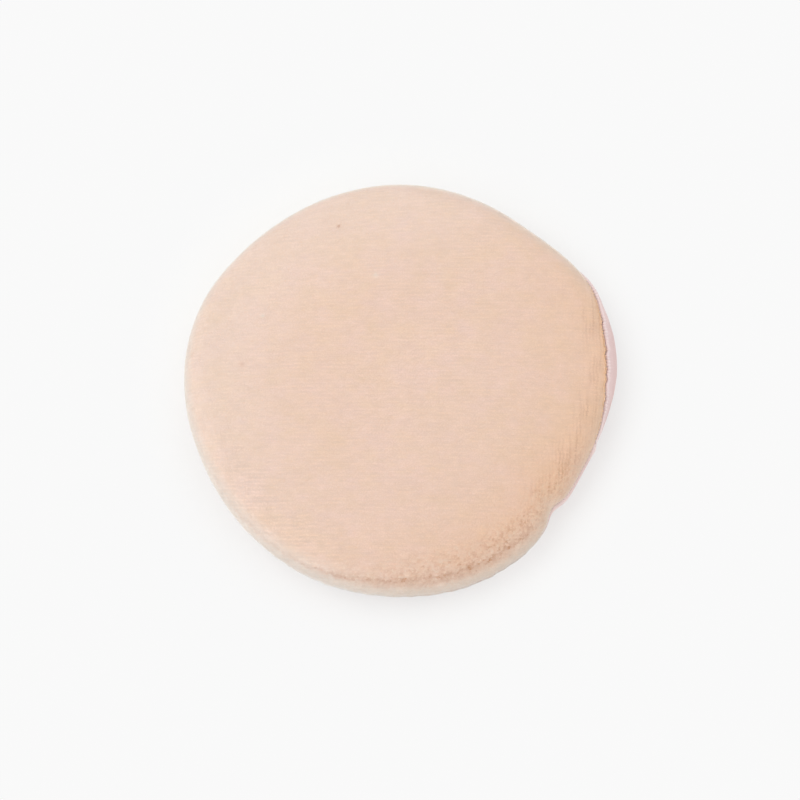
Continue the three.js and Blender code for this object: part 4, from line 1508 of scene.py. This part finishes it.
@dataclass
class FingerBand:
    """The ribbon across the back, with its woven edges, whose two ends are caught in the seam."""

    thickness: float = 0.22 * MM
    tail: float = 1.4 * MM
    seat: float = 0.05 * MM
    edge_width: float = 0.9 * MM
    edge_height: float = 0.09 * MM
    wave: float = 0.09 * MM
    lines: int = 61
    seam_stations: int = 8
    rim_stations: int = 26
    flat_stations: int = 70
    last_share: float = 0.93
    under_seam: float = 6
    end_thin: float = 0.4

    def solved(self, section_of: Callable[[Array], Array], side: Array, towards: float) -> tuple[Array, Array]:
        """Angles at which section points lie at a distance to one side of the band's middle line.

        Each try takes the angle whose sine is side over the reach at the last one.

        Args:
            section_of: Gives section points for angles.
            side: Distances to the side.
            towards: 0 for the notched end, 180 for the other.

        Returns:
            The angles and the section points there.
        """
        angle = np.full(np.shape(side), float(towards))
        for _ in range(8):
            slant = np.degrees(np.arcsin(side / section_of(angle)[..., 0]))
            angle = slant if towards == 0 else 180 - slant
        return angle, section_of(angle)

    def end_line(self, side: Array, towards: float) -> Array:
        """The middle of the ribbon from its end in the seam, out, round the rim and down to the flat.

        Args:
            side: Distances to the side of each line, lines by 1.
            towards: 0 or 180.

        Returns:
            Points, lines by stations by 3.
        """
        out = self.seat + self.thickness / 2
        stations = [lambda angle, depth=depth: SHAPE.seam_point(angle, depth, 0)
                    for depth in np.linspace(self.tail, -out, self.seam_stations)]
        for share in np.linspace(self.last_share, 0, self.rim_stations):
            def station(angle: Array, share: float = share) -> Array:
                """Section points outside the rim, at a share of the way from the underside to the seam."""
                turn = -90 + (SHAPE.seam_turn(angle) - self.under_seam + 90) * share
                return SHAPE.rim_point(angle, turn, -out)
            stations.append(station)
        solved = [self.solved(section_of, side[:, 0], towards) for section_of in stations]
        return np.stack([placed(angle, section) for angle, section in solved], axis=1)

    def middle_lines(self, side: Array) -> Array:
        """The middle of the whole ribbon: one end, the flat that rests on the table, and the other end.

        Args:
            side: Distances to the side of each line, lines by 1.

        Returns:
            Points, lines by stations by 3.
        """
        one, other = self.end_line(side, 180), self.end_line(side, 0)[:, ::-1]
        share = np.linspace(0, 1, self.flat_stations)[None, 1:-1, None]
        flat = one[:, -1:] * (1 - share) + other[:, :1] * share
        lines = np.concatenate([one, flat, other], axis=1)
        rests = lines[..., 2] < SHAPE.ribbon_thickness
        sway = self.wave * patches(lines[..., 0] + 0.2, lines[..., 1] + 0.2, 6 * MM, 41)
        flat_height = self.thickness / 2 + self.edge_height + np.maximum(sway, 0)
        lines[..., 2] = np.where(rests, np.minimum(lines[..., 2], flat_height), lines[..., 2])
        return lines

    def build(self) -> bpy.types.Object:
        """Builds the ribbon as a closed strip, thicker along its two woven edges.

        Returns:
            The piece.
        """
        side = SHAPE.ribbon_width * np.linspace(-0.5, 0.5, self.lines)[:, None]
        lines = self.middle_lines(side)
        along, across = np.gradient(lines, axis=1), np.gradient(lines, axis=0)
        normals = unit(np.cross(along, across))
        normals *= np.sign(normals[:, 60:61, 2:3])
        edge = np.minimum(np.abs(side - side[0]), np.abs(side - side[-1]))
        woven = bump(edge, self.edge_width / 2, self.edge_width / 2.2)[..., None]
        half = self.thickness / 2 + self.edge_height * woven
        half[0], half[-1] = half[0] * self.end_thin, half[-1] * self.end_thin
        upper, lower = lines + normals * half, lines - normals * half
        ring = np.concatenate([upper, lower[::-1]], axis=0)
        count, stations = ring.shape[:2]
        quads = grid_faces(count, stations, True, False)
        near = np.arange(self.lines - 1)
        cap = np.stack([near, near + 1, count - 2 - near, count - 1 - near], -1) * stations
        ends = [cap, (cap + stations - 1)[:, ::-1]]
        piece = mesh_object("ribbon_band", ring, np.concatenate([quads, *ends]))
        travelled = np.cumsum(np.linalg.norm(np.diff(lines, axis=1, prepend=lines[:, :1]), axis=-1), axis=1)
        flat_place = np.stack(np.broadcast_arrays(side, travelled, 0 * travelled), -1)
        give_values(piece, "flat", np.concatenate([flat_place, flat_place[::-1]]).reshape(-1, 3))
        tint = np.stack(np.broadcast_arrays(0.3 * woven[..., 0] + 0 * travelled, 0, 0), -1)
        give_values(piece, "tint", np.concatenate([tint, tint[::-1]]).reshape(-1, 3))
        ready(piece, RIBBON.material())
        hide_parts("finger_band")
        return piece


@dataclass
class SewingThread:
    """A three-ply thread along the seam, from one angle to another."""

    name: str
    node: str
    angles: tuple[float, float]
    pitch: float
    start_share: float
    ladder: bool = False
    width: float = 0.2 * MM
    depth: float = 2 * MM
    twist: float = 0.16 * MM
    ply_turn: float = 0.7 * MM
    sides: int = 12
    point_step: float = 0.12 * MM
    valley: float = 0.72
    ladder_depth: tuple[float, float] = (0.7 * MM, 0.2 * MM)
    ladder_lift: float = 0.22 * MM

    def route(self) -> Array:
        """Points along the thread's middle line.

        A seam thread winds round its fellow once a stitch: depth + twist cos, lift twist sin. The closing
        thread steps from one turned-in edge to the other and dips between them.
        """
        low, high = self.angles
        length = np.radians(high - low) * (SHAPE.radius - self.depth)
        steps = int(length / self.point_step)
        angle = np.linspace(low, high, steps)
        stitch = np.linspace(0, round(length / self.pitch), steps)
        turn = 2 * np.pi * (stitch + self.start_share)
        if self.ladder:
            depth = self.ladder_depth[0] + self.ladder_depth[1] * np.cos(2 * turn)
            section = SHAPE.seam_point(angle, depth, self.ladder_lift * np.sin(turn))
        else:
            depth = self.depth + self.twist * np.cos(turn)
            section = SHAPE.seam_point(angle, depth, self.twist * np.sin(turn))
        return placed(angle, section)

    def build(self) -> bpy.types.Object:
        """Builds the thread as a tube whose section has three lobes that turn along it.

        Returns:
            The piece.
        """
        route = self.route()
        ahead = unit(np.gradient(route, axis=0))
        out = unit(route * [1, 1, 0])
        up = unit(np.cross(out, ahead))
        across = np.cross(ahead, up)
        sides = self.sides
        around = 2 * np.pi * np.arange(sides) / sides
        travelled = np.concatenate([[0], np.cumsum(np.linalg.norm(np.diff(route, axis=0), axis=-1))])
        lobes = np.abs(np.cos(1.5 * (around[None, :] + 2 * np.pi * travelled[:, None] / self.ply_turn)))
        reach = self.width / 2 * (self.valley + (1 - self.valley) * lobes)
        ring = (route[:, None] + across[:, None] * (reach * np.cos(around))[..., None]
                + up[:, None] * (reach * np.sin(around))[..., None])
        count = len(route)
        quads = grid_faces(count, sides, False, True)
        numbers = np.arange(sides)
        caps = np.stack([np.full(sides, count * sides), (numbers + 1) % sides, numbers], -1)
        ends = np.stack([np.full(sides, count * sides + 1), (count - 1) * sides + numbers,
                         (count - 1) * sides + (numbers + 1) % sides], -1)
        points = np.concatenate([ring.reshape(-1, 3), route[:1], route[-1:]])
        piece = mesh_object(self.name, points, quads[:, ::-1], np.concatenate([caps, ends]))
        # Place along and round the thread, and depth between plies for the painted shade.
        place = np.stack(np.broadcast_arrays(
            travelled[:, None] / MM, np.cos(around)[None, :], 1 - lobes), -1).reshape(-1, 3)
        give_values(piece, "twist", np.concatenate([place, np.zeros((2, 3))]))
        ready(piece, THREAD.material())
        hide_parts(self.node)
        return piece


@dataclass(frozen=True)
class Studio:
    """Camera, lights and floor."""

    azimuth: float = 40
    elevation: float = 74
    lens: float = 120
    pixels_across: float = 800
    pixels_per_metre: float = 7.2 / MM
    aim_right: float = -0.2 * MM
    aim_up: float = -2.42 * MM
    floor_grey: int = 249
    sky: float = 0.64
    side_light: float = 1.2
    sun: float = 0.95
    sun_lean: float = 25
    sun_image_angle: float = 172
    sun_spread: float = 34
    near_glow: float = 0.35
    far_glow: float = 0.97
    glow_reach: tuple[float, float] = (27 * MM, 38 * MM)
    glow_right: float = -0.9 * MM
    glow_up: float = 3 * MM
    floor_half: float = 3
    clip: tuple[float, float] = (0.01, 20)

    def place_camera(self) -> None:
        """A long lens at the photograph's angle, so far away that the puff has the photograph's size."""
        data = bpy.data.cameras.new("photo_camera")
        data.lens = self.lens
        camera = bpy.data.objects.new("photo_camera", data)
        bpy.context.collection.objects.link(camera)
        turn, rise = np.radians(self.azimuth), np.radians(self.elevation)
        back = Vector((np.sin(turn) * np.cos(rise), -np.cos(turn) * np.cos(rise), np.sin(rise)))
        right = Vector((np.cos(turn), np.sin(turn), 0))
        up = back.cross(right)
        width = self.pixels_across / self.pixels_per_metre
        distance = width * self.lens / data.sensor_width
        target = Vector((0, 0, SHAPE.face_top() - SHAPE.pad_thickness / 2))
        camera.location = target + right * self.aim_right + up * self.aim_up + back * distance
        camera.rotation_euler = back.to_track_quat("Z", "Y").to_euler()
        data.clip_start, data.clip_end = self.clip
        bpy.context.scene.camera = camera

    def place_light(self) -> None:
        """One large soft light from the left of the photograph."""
        data = bpy.data.lights.new("soft_light", "SUN")
        data.energy = self.sun
        data.angle = np.radians(self.sun_spread)
        light = bpy.data.objects.new("soft_light", data)
        bpy.context.collection.objects.link(light)
        turn = np.radians(self.sun_image_angle + self.azimuth)
        lean = np.radians(self.sun_lean)
        towards = Vector((np.cos(turn) * np.sin(lean), np.sin(turn) * np.sin(lean), np.cos(lean)))
        light.rotation_euler = towards.to_track_quat("Z", "Y").to_euler()

    def make_world(self) -> None:
        """White light, brighter towards the horizon, which the camera and reflections see as the floor's grey.

        Its strength is sky + side_light (1 - z)^2, where z is the upward part of a direction.
        """
        world = bpy.data.worlds.new("studio")
        bpy.context.scene.world = world
        world.use_nodes = True
        nodes = Nodes(world.node_tree)
        world.node_tree.nodes.clear()
        path = nodes.add("ShaderNodeLightPath")
        seen = nodes.math("MAXIMUM", path.outputs["Is Camera Ray"], path.outputs["Is Glossy Ray"])
        seen = nodes.math("MAXIMUM", seen, path.outputs["Is Transmission Ray"])
        grey = linear(self.floor_grey, self.floor_grey, self.floor_grey)
        upward = nodes.add("ShaderNodeSeparateXYZ", {0: nodes.add("ShaderNodeTexCoord").outputs["Generated"]})
        low = nodes.math("POWER", nodes.math("SUBTRACT", 1.0, upward.outputs["Z"], clamped=True), 2.0)
        strength = nodes.math("ADD", nodes.math("MULTIPLY", low, self.side_light), self.sky)
        light = nodes.add("ShaderNodeBackground", {"Color": (1.0, 1.0, 1.0, 1.0), "Strength": strength})
        shown = nodes.add("ShaderNodeBackground", {"Color": grey, "Strength": 1.0})
        mix = nodes.add("ShaderNodeMixShader", {0: seen, 1: light.outputs[0], 2: shown.outputs[0]})
        out = nodes.add("ShaderNodeOutputWorld", {"Surface": mix.outputs[0]})
        out.is_active_output = True

    def make_floor(self) -> bpy.types.Object:
        """A wide pale floor. Part of what the camera sees of it is its own grey, so that its shadow is light.

        That part grows away from the puff, where the floor should be plain.
        """
        half = self.floor_half
        corners = np.array([[-half, -half, 0], [half, -half, 0], [half, half, 0], [-half, half, 0]])
        floor = mesh_object("floor", corners, np.array([[0, 1, 2, 3]]))
        material = bpy.data.materials.new("pale_floor")
        material.use_nodes = True
        nodes = Nodes(material.node_tree)
        material.node_tree.nodes.clear()
        grey = linear(self.floor_grey, self.floor_grey, self.floor_grey)
        matte = nodes.add("ShaderNodeBsdfDiffuse", {"Color": linear(245, 246, 244)})
        glow = nodes.add("ShaderNodeEmission", {"Color": grey, "Strength": 1.0})
        turn = np.radians(self.azimuth)
        middle = (self.glow_right * np.cos(turn) - self.glow_up * np.sin(turn),
                  self.glow_right * np.sin(turn) + self.glow_up * np.cos(turn), 0.0)
        measure = nodes.add("ShaderNodeVectorMath", {0: nodes.place(), 1: middle}, operation="DISTANCE")
        away = measure.outputs["Value"]
        share = nodes.ranged(away, self.glow_reach, (self.near_glow, self.far_glow))
        seen = nodes.math("MULTIPLY", nodes.add("ShaderNodeLightPath").outputs["Is Camera Ray"], share)
        mix = nodes.add("ShaderNodeMixShader", {0: seen, 1: matte.outputs[0], 2: glow.outputs[0]})
        nodes.add("ShaderNodeOutputMaterial", {"Surface": mix.outputs[0]})
        floor.data.materials.append(material)
        return floor

    def build(self) -> None:
        """Sets the view, and makes the camera, the light, the world and the floor."""
        bpy.context.scene.view_settings.view_transform = "Standard"
        self.place_camera()
        self.place_light()
        self.make_world()
        self.make_floor()


def main() -> None:
    """Builds the pieces in order, then the studio."""
    logging.basicConfig(level=logging.INFO, format="%(name)s: %(message)s")
    FoamFilling().build()
    BackCover().build()
    FingerBand().build()
    FaceCover().build()
    SewingThread("needle_stitching", "needle_thread", (88, 342), 3 * MM, 0).build()
    SewingThread("bobbin_stitching", "bobbin_thread", (88, 342), 3 * MM, 0.5).build()
    SewingThread("closing_stitches", "closing_thread", (30, 58), 1.9 * MM, 0, ladder=True).build()
    Studio().build()


if __name__ == "__main__":
    main()
